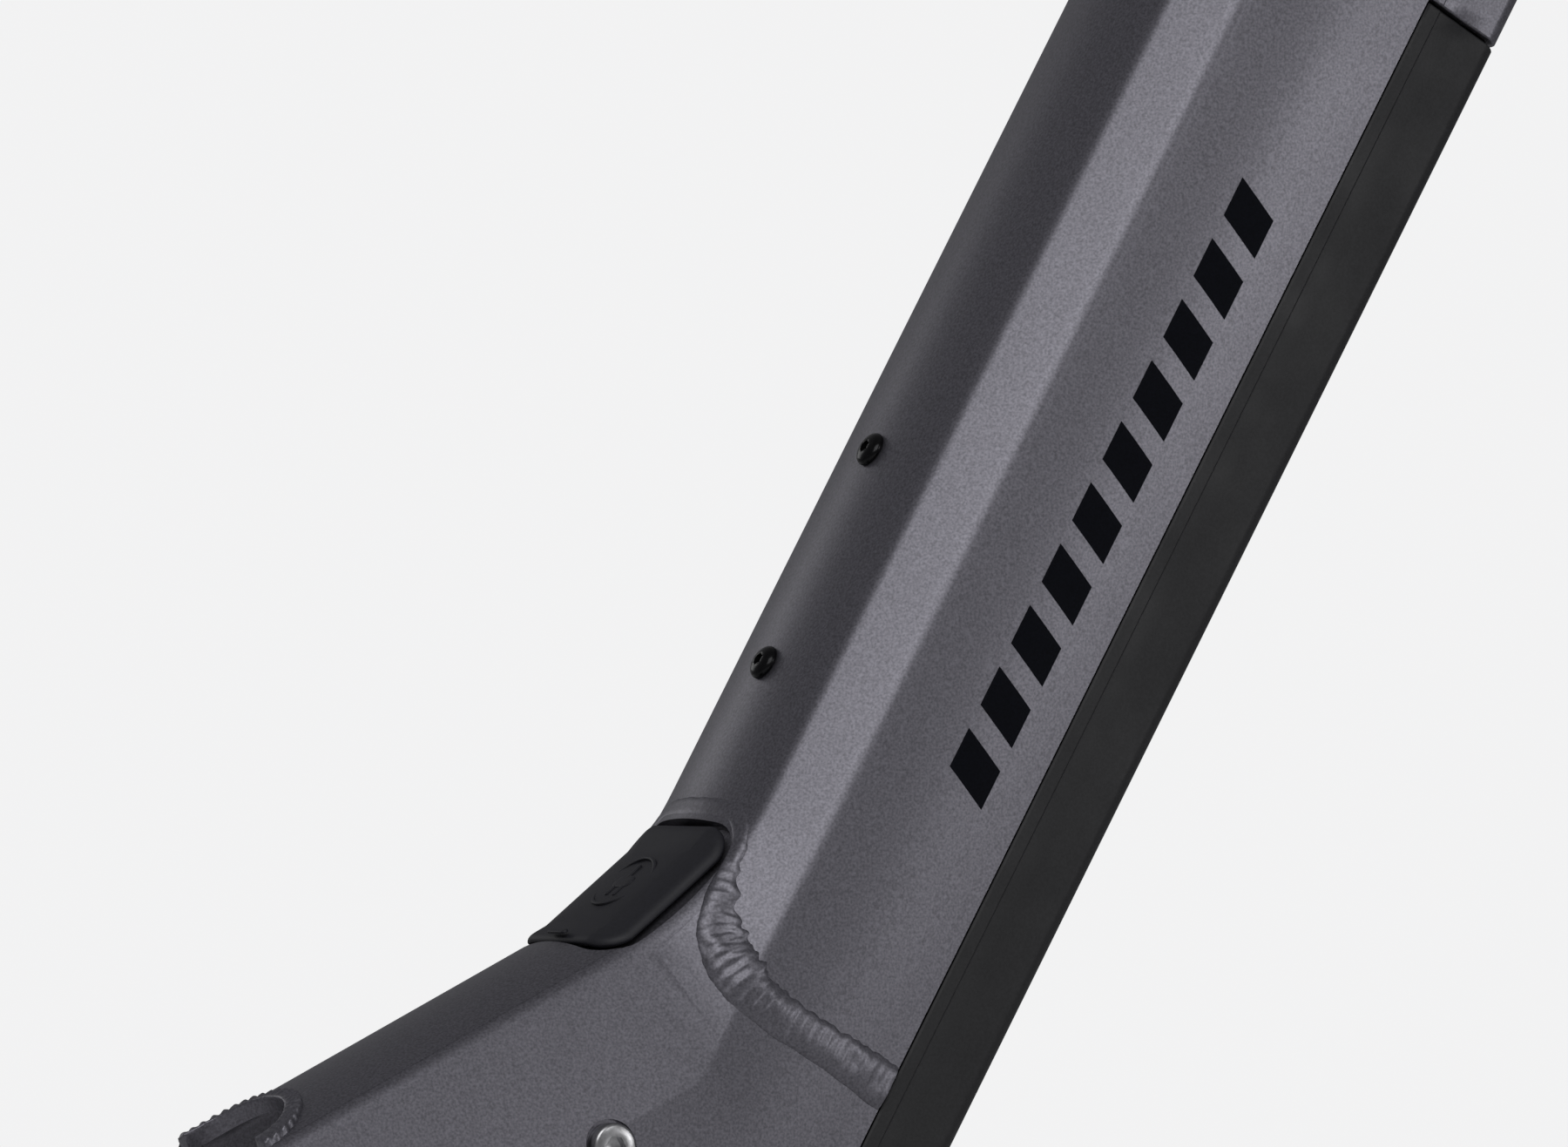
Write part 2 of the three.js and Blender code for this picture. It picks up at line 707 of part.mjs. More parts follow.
function chargeSocket() {
  const { radius, top, thickness } = socketFlange;
  return solid(portRound(socketRadius, -socketDepth, -(recessDepth + bracketWall) / 2))
    .add(solid(portRound(radius, top - thickness, top)))
    .subtract(solid(portRound(socketBore, socketFloor - socketDepth, 0)));
}

function chargeContacts() {
  const foot = socketFloor - socketDepth + seatGap;
  const base = solid(portRound(socketBore - seatGap, foot, foot + contactBase));
  const pins = Array.from({ length: contactCount }, (_, index) => {
    const turn = (index + 0.5) * (360 / contactCount) * degrees;
    const pin = portRound(contactRadius, foot, foot + contactBase + contactHeight, 12);
    return solid(pin.translate(contactCircle * Math.cos(turn), contactCircle * Math.sin(turn), 0));
  });
  return union([base, ...pins]);
}

addPiece('charge_bezel', chargeBezel(), 'darkPlastic');
addPiece('charge_flap', chargeFlap(), 'flapRubber');
addPiece('charge_socket', chargeSocket(), 'darkPlastic', portAxes);
addPiece('charge_contacts', chargeContacts(), 'brassContact', portAxes);

// The lead runs from the socket's side, over the lower mount and into the mount's rear face.
function chargeLead() {
  const exit = new THREE.Vector3(-socketRadius - seatGap, 0, leadRadius - socketDepth)
    .applyMatrix4(portMatrix);
  const leave = new THREE.Vector3(-socketRadius - 12, 0, leadRadius - socketDepth).applyMatrix4(portMatrix);
  const entryAlong = mountFace - mountThickness - seatGap;
  const route = [
    exit, leave,
    new THREE.Vector3(-122, 0, 98), new THREE.Vector3(-138, 2, 100), new THREE.Vector3(-151, 3, 96),
    new THREE.Vector3(-159, 3, 84), new THREE.Vector3(-159, 2, 72),
    new THREE.Vector3(entryAlong - 7, 0, 62.5), new THREE.Vector3(entryAlong, 0, 62),
  ];
  const section = new THREE.Shape(arc(0, 0, leadRadius, 0, 324, 9));
  const path = new THREE.CatmullRomCurve3(route);
  return solid(new THREE.ExtrudeGeometry(section, { steps: 30, extrudePath: path }));
}

addPiece('charge_lead', chargeLead(), 'gasketRubber');

// ---------- lower mount, pivot pin and nose ----------

function lowerMount() {
  const ear = [earOffset - earThickness / 2, earOffset + earThickness / 2];
  const plate = alongPrism(packOutline(), mountFace - mountThickness, mountFace);
  const ears = pair([mountFace - 1, pivotAlong + pivotRadius + earTip], ear,
    [pivotHeight - earHalfHeight, pivotHeight + earHalfHeight]);
  return plate.add(ears)
    .subtract(rodAcross(pivotAlong, pivotHeight, pivotRadius + seatGap, -farSide, farSide));
}

function frameConnector() {
  const plugFoot = packFoot - plugStep;
  const body = connectorHalf.across - plugBodyInset;
  const tall = connectorHalf.height - plugBodyInset;
  return block([mountFace + seatGap, plugFoot], [-body, body],
    [connectorHeight - tall, connectorHeight + tall])
    .add(block([plugFoot - 1, packFoot + plugReach], [-plugHalf.across, plugHalf.across],
      [connectorHeight - plugHalf.height, connectorHeight + plugHalf.height]));
}

addPiece('lower_mount', lowerMount(), 'darkPlastic');
addPiece('pivot_pin', rodAcross(pivotAlong, pivotHeight, pivotRadius,
  -earOffset - earThickness / 2, earOffset + earThickness / 2), 'silverSteel');
addPiece('frame_connector', frameConnector(), 'darkPlastic');
addPiece('lower_nose', coverChannel(coverTopHeight, bracketEnd, noseEnd), 'coverPlastic');

// ---------- upper mount and lock ----------

function upperMount() {
  const guide = boltSize / 2 + boltRoom;
  const boreRadius = keyRadius + keyRoom + sleeveWall + seatGap;
  return alongPrism(packOutline(), upperFace, upperFace + upperMountLength)
    .subtract(block([upperFace - 1, upperFace + upperMountLength - upperMountFloor], [-guide, guide],
      [boltCentre - guide, boltCentre + guide]))
    .subtract(rodAcross(keyAlong, lockHeight, boreRadius, guide - 0.1, farSide, 32));
}

function lockSleeve() {
  const radius = keyRadius + keyRoom;
  return rodAcross(keyAlong, lockHeight, radius + sleeveWall, keyFoot, width / 2 + sleeveProud, 32)
    .subtract(rodAcross(keyAlong, lockHeight, radius, keyFoot - 1, farSide, 32));
}

function keyBarrel() {
  const face = width / 2 - keyRecess;
  return rodAcross(keyAlong, lockHeight, keyRadius, keyFoot, face, 28)
    .add(rodAcross(pinAlong, pinHeight, keyPinRadius, boltRoom - boltSize / 2, keyFoot + 1, 12))
    .subtract(block([keyAlong - keyway.width / 2, keyAlong + keyway.width / 2],
      [face - keyway.depth, farSide], [lockHeight - keyway.height / 2, lockHeight + keyway.height / 2]));
}

function lockBolt() {
  const half = boltSize / 2;
  const slotHalf = keyPinRadius + boltRoom;
  return block([boltTip, pinAlong + slotHalf + boltBridge], [-half, half],
    [boltCentre - half, boltCentre + half])
    .subtract(block([pinAlong - slotHalf, pinAlong + slotHalf], [-farSide, farSide],
      [boltCentre - slotHalf, boltCentre + 2 * half]));
}

function dustCap() {
  const inner = width / 2 + dustCapLift;
  const pivot = keyAlong + dustCapRadius + 2 * dustPivotRadius;
  const arm = [lockHeight - 2 * dustPivotRadius, lockHeight + 2 * dustPivotRadius];
  return rodAcross(keyAlong, lockHeight, dustCapRadius, inner, inner + dustCapThickness, 32)
    .add(block([keyAlong, pivot], [inner, inner + dustCapThickness], arm))
    .add(rodAcross(pivot, lockHeight, 2 * dustPivotRadius, inner, inner + dustCapThickness, 20))
    .add(rodAcross(pivot, lockHeight, dustPivotRadius, width / 2 - tubeWall, inner + 1, 16));
}

addPiece('upper_mount', upperMount(), 'darkPlastic');
addPiece('lock_sleeve', lockSleeve(), 'silverSteel');
addPiece('key_barrel', keyBarrel(), 'silverSteel');
addPiece('lock_bolt', lockBolt(), 'silverSteel');
addPiece('lock_dust_cap', dustCap(), 'darkPlastic');

// ---------- pack case and caps ----------

function connectorBlock(along, room) {
  const across = connectorHalf.across - room;
  const tall = connectorHalf.height - room;
  return block(along, [-across, across], [connectorHeight - tall, connectorHeight + tall]);
}

function lowerCap() {
  const end = packFoot + lowerCapLength;
  const roofStart = end - lowerCapRoof;
  const above = packTop + 1;
  const slope = acrossPrism(points([
    [packFoot - 1, packTop - lowerCapDrop], [roofStart, packTop], [roofStart, above], [packFoot - 1, above],
  ]), -farSide, farSide);
  const lug = [lugOffset - lugThickness / 2, lugOffset + lugThickness / 2];
  const notch = pivotRadius + pivotRoom;
  const bay = alongPrism(inset(packOutline(), capWall), end - lowerCapBay, end + 1)
    .subtract(block([farDown, farUp], [-farSide, farSide], [packTop - lowerCapDrop, packTop]));
  return alongPrism(packOutline(), packFoot, end)
    .subtract(slope)
    .subtract(bay)
    .subtract(connectorBlock([packFoot - 1, packFoot + connectorPocket], 0))
    .add(pair([pivotAlong - lugReach, packFoot + 1], lug,
      [pivotHeight - lugHalfHeight, pivotHeight + lugHalfHeight]))
    .subtract(rodAcross(pivotAlong, pivotHeight, notch, -farSide, farSide))
    .subtract(block([farDown, pivotAlong], [-farSide, farSide], [pivotHeight - notch, pivotHeight + notch]));
}

function packConnector() {
  return connectorBlock([packFoot + connectorBase, packFoot + connectorPocket - seatGap], seatGap);
}

function upperCap() {
  const start = caseEnd + gasketThickness;
  return alongPrism(packOutline(), start, packHead)
    .subtract(alongPrism(inset(packOutline(), capWall), start - 1, packHead - capWall));
}

function gasket(from) {
  return alongPrism(inset(packOutline(), seatGap), from + seatGap, from + gasketThickness - seatGap)
    .subtract(alongPrism(inset(packOutline(), capWall), from - 1, from + gasketThickness + 1));
}

function packCase() {
  return alongPrism(packOutline(), caseStart, caseEnd)
    .subtract(alongPrism(inset(packOutline(), caseWall), caseStart - 1, caseEnd + 1));
}

addPiece('pack_case', packCase(), 'caseAlloy');
addPiece('pack_cap_lower', lowerCap(), 'darkPlastic');
addPiece('pack_cap_upper', upperCap(), 'darkPlastic');
addPiece('gasket_lower', gasket(caseStart - gasketThickness), 'gasketRubber');
addPiece('gasket_upper', gasket(caseEnd), 'gasketRubber');
addPiece('pack_connector', packConnector(), 'darkPlastic');

// ---------- cells, trays and electronics ----------

const trayFoot = packBottom + caseWall + caseEndRoom;
const cellFoot = trayFoot + trayThickness + seatGap;
const cellTop = cellFoot + cellLength;
const rowAlong = (row) => caseStart + cellBayMargin + (row + 0.5) * cellPitch;
const cellAcross = (cell) => (cell - (cellsAcross - 1) / 2) * cellPitch;
const cellIndexes = Array.from({ length: cellsAcross }, (_, cell) => cell);
const rowIndexes = Array.from({ length: cellRows }, (_, row) => row);

// One parallel group: a row of cells under its nickel strip, with the tab that reaches the next row.
function cellRow(row) {
  const along = rowAlong(row);
  const stripHalf = cellPitch / 2 - nickelInset;
  const strip = cellAcross(cellsAcross - 1) + stripEnd;
  const nickel = [cellTop - nickelSink, cellTop + nickelThickness];
  const tab = row % 2 === 0 ? [strip - tabWidth, strip] : [-strip, tabWidth - strip];
  const cells = cellIndexes.map((cell) => rodUp(
    along, cellAcross(cell), cellDiameter / 2, cellFoot, cellTop, 12));
  return union([
    ...cells,
    block([along - stripHalf, along + stripHalf], [-strip, strip], nickel),
    block([along + stripHalf - 1, along + cellPitch - stripHalf - seatGap], tab,
      [cellTop + seatGap, cellTop + nickelThickness]),
  ]);
}

function tray(foot) {
  const half = packWidth / 2 - caseFootChamfer.across - caseWall + traySideRoom;
  const openings = rowIndexes.flatMap((row) => cellIndexes.map((cell) => rodUp(
    rowAlong(row), cellAcross(cell), trayHoleRadius, foot - 1, foot + trayThickness + 1, 6)));
  const end = rowAlong(cellRows - 1) + cellPitch / 2 + trayOverhang;
  return block([caseStart + trayOverhang, end], [-half, half],
    [foot, foot + trayThickness]).subtract(union(openings));
}

// The board across the pack, with two terminal blocks, a chip and two capacitors.
function controlBoard() {
  const start = rowAlong(cellRows - 1) + cellPitch / 2 + cellBayMargin;
  const foot = packBottom + boardHeight;
  const top = foot + boardThickness;
  const half = packWidth / 2 - caseWall - boardSideRoom;
  const onBoard = (height) => [top - 0.1, top + height];
  const { from, length, across, height } = terminalBlock;
  const capacitors = [-1, 1].map((side) => rodUp(
    start + capacitor.from, side * capacitor.across, capacitor.radius, ...onBoard(capacitor.height), 16));
  return union([
    block([start, start + boardBay - cellBayMargin], [-half, half], [foot, top]),
    pair([start + from, start + from + length], across, onBoard(height)),
    block([start + chip.from, start + chip.from + chip.length], [-chip.half, chip.half],
      onBoard(chip.height)),
    ...capacitors,
  ]);
}

rowIndexes.forEach((row) => {
  addPiece(`cell_row_${String(row + 1).padStart(2, '0')}`, cellRow(row), 'cellSleeve');
});
addPiece('cell_tray_outer', tray(trayFoot), 'trayPlastic');
addPiece('cell_tray_inner', tray(cellTop + nickelThickness + seatGap), 'trayPlastic');
addPiece('control_board', controlBoard(), 'boardGreen');

// ---------- striker and cover ----------

function striker() {
  const pocket = boltSize / 2 + boltRoom;
  const outer = pocket + strikerWall;
  return block([packHead + seatGap, strikerEnd], [-outer, outer], [boltCentre - outer, boltCentre + outer])
    .subtract(block([strikerEnd - boltTravel - boltRoom, strikerEnd + 1], [-pocket, pocket],
      [boltCentre - pocket, boltCentre + pocket]));
}

function coverShell() {
  return coverChannel(coverTopHeight, coverStart, coverEnd)
    .subtract(rodUp(buttonAlong, 0, buttonRadius + buttonRoom, -1, coverWall + 1))
    .subtract(block([windowAlong, windowAlong + windowLength], [-windowWidth / 2, windowWidth / 2],
      [-1, coverWall + 1]));
}

function coverRail(side) {
  const across = railAcross.map((place) => side * place).sort((low, high) => low - high);
  return block([caseStart + railFromCaseEnd, caseEnd - railFromCaseEnd], across,
    [coverWall + seatGap, packBottom - seatGap]);
}

function powerButton() {
  const flangeFoot = coverWall + seatGap;
  return rodUp(buttonAlong, 0, buttonRadius, seatGap, flangeFoot + 1)
    .add(rodUp(buttonAlong, 0, buttonRadius + buttonFlange.width, flangeFoot,
      flangeFoot + buttonFlange.thickness));
}

function chargeWindow() {
  const half = windowWidth / 2 - seatGap;
  return block([windowAlong + seatGap, windowAlong + windowLength - seatGap], [-half, half],
    [seatGap / 2, coverWall + windowStand]);
}

addPiece('striker', striker(), 'silverSteel');
addPiece('cover_shell', coverShell(), 'coverPlastic');
addPiece('cover_rail_right', coverRail(-1), 'gasketRubber');
addPiece('cover_rail_left', coverRail(1), 'gasketRubber');
addPiece('charge_window', chargeWindow(), 'windowPlastic');
addPiece('power_button', powerButton(), 'darkPlastic');

export default unit;
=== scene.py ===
"""In-tube battery unit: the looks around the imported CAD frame.

Blender units are metres; the sizes below are in mm.
"""
import json
import math

import bmesh
import bpy
import numpy as np
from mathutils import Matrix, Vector, noise
from mathutils.bvhtree import BVHTree


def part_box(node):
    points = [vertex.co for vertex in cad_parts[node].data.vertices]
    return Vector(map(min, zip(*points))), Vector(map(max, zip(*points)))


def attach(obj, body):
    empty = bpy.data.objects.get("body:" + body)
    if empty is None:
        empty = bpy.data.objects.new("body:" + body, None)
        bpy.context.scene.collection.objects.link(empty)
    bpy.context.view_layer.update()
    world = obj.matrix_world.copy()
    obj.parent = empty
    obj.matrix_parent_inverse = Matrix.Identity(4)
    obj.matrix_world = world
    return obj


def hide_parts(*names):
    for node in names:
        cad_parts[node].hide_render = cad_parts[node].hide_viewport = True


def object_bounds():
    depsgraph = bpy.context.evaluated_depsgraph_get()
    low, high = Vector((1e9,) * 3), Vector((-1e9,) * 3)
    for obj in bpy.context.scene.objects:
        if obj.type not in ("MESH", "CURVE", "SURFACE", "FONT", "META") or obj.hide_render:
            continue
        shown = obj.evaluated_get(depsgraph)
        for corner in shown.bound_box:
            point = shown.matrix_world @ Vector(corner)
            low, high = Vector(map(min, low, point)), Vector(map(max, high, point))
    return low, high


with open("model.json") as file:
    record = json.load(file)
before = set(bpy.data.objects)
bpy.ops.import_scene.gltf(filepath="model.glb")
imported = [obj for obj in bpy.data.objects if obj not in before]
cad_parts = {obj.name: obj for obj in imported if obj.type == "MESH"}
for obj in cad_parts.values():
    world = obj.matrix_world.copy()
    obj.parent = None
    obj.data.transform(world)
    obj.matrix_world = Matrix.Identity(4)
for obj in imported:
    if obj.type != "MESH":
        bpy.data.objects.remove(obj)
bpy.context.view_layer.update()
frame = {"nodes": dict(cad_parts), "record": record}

MM = 0.001
nodes = frame["nodes"]


# ---------- the tube's axes, read from the frame ----------

mounts = {mount["name"]: mount for mount in frame["record"]["mounts"]}
ALONG = Vector(mounts["upper_end"]["axis"]).normalized()
OUT = Vector((-ALONG.z, 0, ALONG.x))
ACROSS = Vector((0, 1, 0))


def middle(node):
    low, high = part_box(node)
    return (low + high) / 2


boss = middle("bottle_boss_lower")
crown_rise = max((vertex.co - boss).dot(OUT) for vertex in nodes["down_tube_shell"].data.vertices)
CROWN = boss + OUT * crown_rise      # top of the tube at the lower bottle bolt


def reach(node, axis):
    """Lowest and highest place of a CAD node along an axis from CROWN, in mm."""
    places = [(vertex.co - CROWN).dot(axis) / MM for vertex in nodes[node].data.vertices]
    return min(places), max(places)


DEPTH = -reach("cover_shell", OUT)[0]
SIDE = reach("down_tube_shell", ACROSS)[1]
TUBE_END = reach("down_tube_shell", ALONG)[1]
SEAM = DEPTH + reach("down_tube_shell", OUT)[0]
BOLT_STEP = (middle("bottle_bolt_upper") - middle("bottle_bolt_lower")).dot(ALONG) / MM
BRACKET_END = reach("lower_nose", ALONG)[0]
COVER_TOP = DEPTH + reach("cover_shell", OUT)[1]
COVER_SPAN = reach("cover_shell", ALONG)
NOSE_SPAN = reach("lower_nose", ALONG)
HEAD_SPAN = reach("head_end_channel", ALONG)


def at(along, across, height):
    """A place given up the tube from the lower bottle bolt, sideways, and up from the cover's underside."""
    return CROWN + (ALONG * along + ACROSS * across + OUT * (height - DEPTH)) * MM


def level_site(x, z):
    """(along, height) of a place given level and upright from the lower bottle bolt."""
    along = x * ALONG.x + z * ALONG.z
    return along, DEPTH + x * OUT.x + z * OUT.z


# ---------- the shape of the tube and its bend ----------

BEND_START = -36
BEND_RADIUS = 95
BEND_TURN = math.radians(34)
ARM_REACH = 140
CROWN_HALF = 26
CROWN_DROP = 5.4
CROWN_RADIUS = (CROWN_HALF ** 2 + CROWN_DROP ** 2) / (2 * CROWN_DROP)
CREASE_DROP = 18.4
RIDGE_FILLET = 9
CREASE_FILLET = 9
CROWN_SAMPLED = 23.4
SKIRT = 130
FLANK_BULGE = 1.8
FLANK_DEPTH = 50
TUBE_WALL = 2.5
BRACKET_WALL = 3.5
BEND_LENGTH = BEND_RADIUS * BEND_TURN


def path(run):
    """(along, height, turn) of the top line, this far past the start of the bend."""
    turn = min(max(run, 0) / BEND_RADIUS, BEND_TURN)
    straight = max(run - BEND_LENGTH, 0)
    along = BEND_START - BEND_RADIUS * math.sin(turn) - straight * math.cos(turn) - min(run, 0)
    height = DEPTH + BEND_RADIUS * (1 - math.cos(turn)) + straight * math.sin(turn)
    return along, height, turn


def crease_drop(turn):
    """The crease runs straight on down the tube while the top line bends away from it."""
    return (CREASE_DROP + BEND_RADIUS * (1 - math.cos(turn))) / math.cos(turn)


def rounded_corner(before, corner, after, radius, steps):
    """Points of a fillet at a corner of an outline."""
    into = (corner - before).normalized()
    out = (after - corner).normalized()
    turn = math.acos(max(-1, min(1, into.dot(out))))
    trim = radius * math.tan(turn / 2)
    side = 1 if into.x * out.y - into.y * out.x > 0 else -1
    normal = Vector((-into.y, into.x)) * side
    centre = corner - into * trim + normal * radius
    start = -normal
    points = []
    for step in range(steps + 1):
        angle = side * turn * step / steps
        spoke = Vector((start.x * math.cos(angle) - start.y * math.sin(angle),
                        start.x * math.sin(angle) + start.y * math.cos(angle)))
        points.append(centre + spoke * radius)
    return points


def flank_bulge(below_crease):
    """How far the flank swells sideways, this far below the crease."""
    return FLANK_BULGE * math.sin(math.pi * min(max(below_crease / FLANK_DEPTH, 0), 1))


def half_section(turn, foot):
    """Right half of the tube's outline from the crown's middle down, as (across, drop)."""
    crown = [Vector((across, across ** 2 / (2 * CROWN_RADIUS)))
             for across in np.linspace(0, CROWN_SAMPLED, 11)]
    ridge = Vector((CROWN_HALF, CROWN_DROP))
    crease = Vector((SIDE, crease_drop(turn)))
    end = Vector((SIDE, foot))
    below = [down for down in np.linspace(6, FLANK_DEPTH, 12) if crease.y + down < foot - 1]
    flank = [Vector((SIDE + flank_bulge(down), crease.y + down)) for down in below] + [end]
    return (crown + rounded_corner(crown[-1], ridge, crease, RIDGE_FILLET, 7)
            + rounded_corner(ridge, crease, flank[0], CREASE_FILLET, 8) + flank)


def grown(outline, distance):
    """Moves a half outline outwards along its own normals."""
    moved = []
    for index, point in enumerate(outline):
        before = outline[max(index - 1, 0)]
        after = outline[min(index + 1, len(outline) - 1)]
        run = (after - before).normalized()
        normal = Vector((run.y, -run.x))
        if index == 0:
            normal = Vector((0, -1))
        moved.append(point + normal * distance)
    return moved


def ring(run, distance, foot):
    """The tube's whole outline square to the top line, this far past the start of the bend."""
    along, height, turn = path(run)
    half = grown(half_section(turn, foot), distance)
    full = [Vector((-point.x, point.y)) for point in reversed(half[1:])] + half
    return [at(along - point.y * math.sin(turn), point.x, height - point.y * math.cos(turn))
            for point in full]


# ---------- mesh helpers ----------

def mesh_object(name, vertices, faces):
    mesh = bpy.data.meshes.new(name)
    mesh.from_pydata([tuple(vertex) for vertex in vertices], [], faces)
    mesh.update()
    made = bpy.data.objects.new(name, mesh)
    bpy.context.scene.collection.objects.link(made)
    return made


def loft(name, rings):
    """A closed solid through rings of equal length, with flat ends."""
    count = len(rings[0])
    vertices = [vertex for one in rings for vertex in one]
    faces = []
    for row in range(len(rings) - 1):
        for column in range(count):
            step = (column + 1) % count
            faces.append((row * count + column, row * count + step,
                          (row + 1) * count + step, (row + 1) * count + column))
    faces.append(tuple(reversed(range(count))))
    faces.append(tuple(range((len(rings) - 1) * count, len(rings) * count)))
    made = mesh_object(name, vertices, faces)
    face_outwards(made)
    return made


def face_outwards(piece):
    shape = bmesh.new()
    shape.from_mesh(piece.data)
    bmesh.ops.recalc_face_normals(shape, faces=shape.faces)
    if shape.calc_volume(signed=True) < 0:
        bmesh.ops.reverse_faces(shape, faces=shape.faces)
    shape.to_mesh(piece.data)
    shape.free()


def apply_modifiers(piece):
    bpy.context.view_layer.update()
    depsgraph = bpy.context.evaluated_depsgraph_get()
    mesh = bpy.data.meshes.new_from_object(piece.evaluated_get(depsgraph))
    piece.modifiers.clear()
    old = piece.data
    piece.data = mesh
    bpy.data.meshes.remove(old)


def boolean(piece, tool, operation, keep_tool=False):
    modifier = piece.modifiers.new("cut", "BOOLEAN")
    modifier.operation = operation
    modifier.solver = "MANIFOLD"
    modifier.object = tool
    apply_modifiers(piece)
    if not keep_tool:
        bpy.data.objects.remove(tool)
    return piece


def bevel(piece, width, segments=2, angle=50):
    modifier = piece.modifiers.new("edge", "BEVEL")
    modifier.width = width * MM
    modifier.segments = segments
    modifier.limit_method = "ANGLE"
    modifier.angle_limit = math.radians(angle)
    modifier.harden_normals = False
    apply_modifiers(piece)


def smooth(piece, angle=35):
    piece.data.shade_smooth()
    piece.data.set_sharp_from_angle(angle=math.radians(angle))


def prism(name, outline, start, end, place):
    """A prism through an outline; place(u, v, w) gives a point's position."""
    return loft(name, [[place(u, v, w) for u, v in outline] for w in (start, end)])


def box_solid(name, along, across, height):
    outline = [(along[0], height[0]), (along[1], height[0]), (along[1], height[1]), (along[0], height[1])]
    return prism(name, outline, across[0], across[1], lambda u, v, w: at(u, w, v))


def circle(radius, sides=48):
    """Points of a circle round (0, 0)."""
    return [(radius * math.cos(math.tau * step / sides), radius * math.sin(math.tau * step / sides))
            for step in range(sides)]


def rod_across(name, along, height, radius, start, end):
    return prism(name, circle(radius), start, end, lambda u, v, w: at(along + u, w, height + v))


def rod_out(name, along, across, radius, start, end):
    return prism(name, circle(radius), start, end, lambda u, v, w: at(along + u, across + v, w))


def plan_solid(name, outline, start=0, end=260):
    return prism(name, outline, start, end, lambda u, v, w: at(u, v, w))


def side_solid(name, outline, half=70):
    return prism(name, outline, -half, half, lambda u, v, w: at(u, w, v))


# ---------- materials ----------

def material(name, color, roughness, metallic=0.0, **shader):
    made = bpy.data.materials.new(name)
    made.use_nodes = True
    tree = made.node_tree
    bsdf = tree.nodes["Principled BSDF"]
    bsdf.inputs["Base Color"].default_value = (*color, 1)
    bsdf.inputs["Roughness"].default_value = roughness
    bsdf.inputs["Metallic"].default_value = metallic
    for socket, value in shader.items():
        bsdf.inputs[socket.replace("_", " ")].default_value = value
    return made


def noise_node(tree, scale, detail=3.0, roughness=0.5):
    coordinates = tree.nodes.get("Texture Coordinate") or tree.nodes.new("ShaderNodeTexCoord")
    coordinates.name = "Texture Coordinate"
    made = tree.nodes.new("ShaderNodeTexNoise")
    made.inputs["Scale"].default_value = scale
    made.inputs["Detail"].default_value = detail
    made.inputs["Roughness"].default_value = roughness
    tree.links.new(coordinates.outputs["Object"], made.inputs["Vector"])
    return made


def ramp(tree, source, low, high, stops=(0.3, 0.7)):
    made = tree.nodes.new("ShaderNodeValToRGB")
    made.color_ramp.elements[0].position = stops[0]
    made.color_ramp.elements[1].position = stops[1]
    made.color_ramp.elements[0].color = (*low, 1)
    made.color_ramp.elements[1].color = (*high, 1)
    tree.links.new(source, made.inputs["Fac"])
    return made.outputs["Color"]


def remap(tree, source, low, high):
    made = tree.nodes.new("ShaderNodeMapRange")
    made.inputs["From Min"].default_value = 0.3
    made.inputs["From Max"].default_value = 0.7
    made.inputs["To Min"].default_value = low
    made.inputs["To Max"].default_value = high
    tree.links.new(source, made.inputs["Value"])
    return made.outputs["Result"]


def add_bump(tree, source, strength, distance):
    bsdf = tree.nodes["Principled BSDF"]
    made = tree.nodes.new("ShaderNodeBump")
    made.inputs["Strength"].default_value = strength
    made.inputs["Distance"].default_value = distance * MM
    tree.links.new(source, made.inputs["Height"])
    linked = bsdf.inputs["Normal"].links
    if linked:
        tree.links.new(linked[0].from_socket, made.inputs["Normal"])
    tree.links.new(made.outputs["Normal"], bsdf.inputs["Normal"])


def textured(name, color, spread, roughness, scale, bump=0.0, bump_distance=0.05, metallic=0.0, mottle=0.1,
             **shader):
    """A base finish with mottled colour, mottled gloss and a fine bump."""
    made = material(name, color, roughness, metallic, **shader)
    tree = made.node_tree
    bsdf = tree.nodes["Principled BSDF"]
    fine = noise_node(tree, scale)
    broad = noise_node(tree, scale / 25)
    low = tuple(channel * (1 - spread) for channel in color)
    high = tuple(min(channel * (1 + spread), 1) for channel in color)
    tree.links.new(ramp(tree, fine.outputs["Fac"], low, high), bsdf.inputs["Base Color"])
    tree.links.new(remap(tree, broad.outputs["Fac"], roughness * (1 - mottle),
                         roughness * (1 + mottle)),
                   bsdf.inputs["Roughness"])
    if bump:
        add_bump(tree, fine.outputs["Fac"], bump, bump_distance)
    return made


def frame_paint():
    """Satin metallic grey: a faint lilac base, fine bright flakes and a slight orange peel."""
    made = textured("frame_paint", (0.15, 0.146, 0.168), 0.30, 0.4, 1500, bump=0.22, bump_distance=0.06,
                    metallic=0.75, mottle=0.015, Coat_Weight=0.1, Coat_Roughness=0.35)
    tree = made.node_tree
    peel = noise_node(tree, 420, detail=1.5)
    add_bump(tree, peel.outputs["Fac"], 0.06, 0.12)
    return made


paint = frame_paint()
cover_plastic = textured("cover_plastic", (0.014, 0.014, 0.0155), 0.25, 0.5, 1300, bump=0.3,
                         bump_distance=0.06, Specular_IOR_Level=0.35)
dark_plastic = textured("dark_plastic", (0.013, 0.013, 0.015), 0.2, 0.5, 1100, bump=0.2)
flap_rubber = textured("flap_rubber", (0.0105, 0.0105, 0.0155), 0.2, 0.58, 900, bump=0.15,
                       bump_distance=0.05)
decal_black = textured("decal_black", (0.003, 0.0035, 0.006), 0.3, 0.55, 1800, bump=0.05, mottle=0.03,
                       Specular_IOR_Level=0.05)
black_steel = textured("black_steel", (0.012, 0.012, 0.013), 0.3, 0.2, 900, bump=0.1, metallic=0.8)
silver_steel = textured("silver_steel", (0.42, 0.42, 0.43), 0.15, 0.32, 1200, bump=0.1, metallic=1.0)
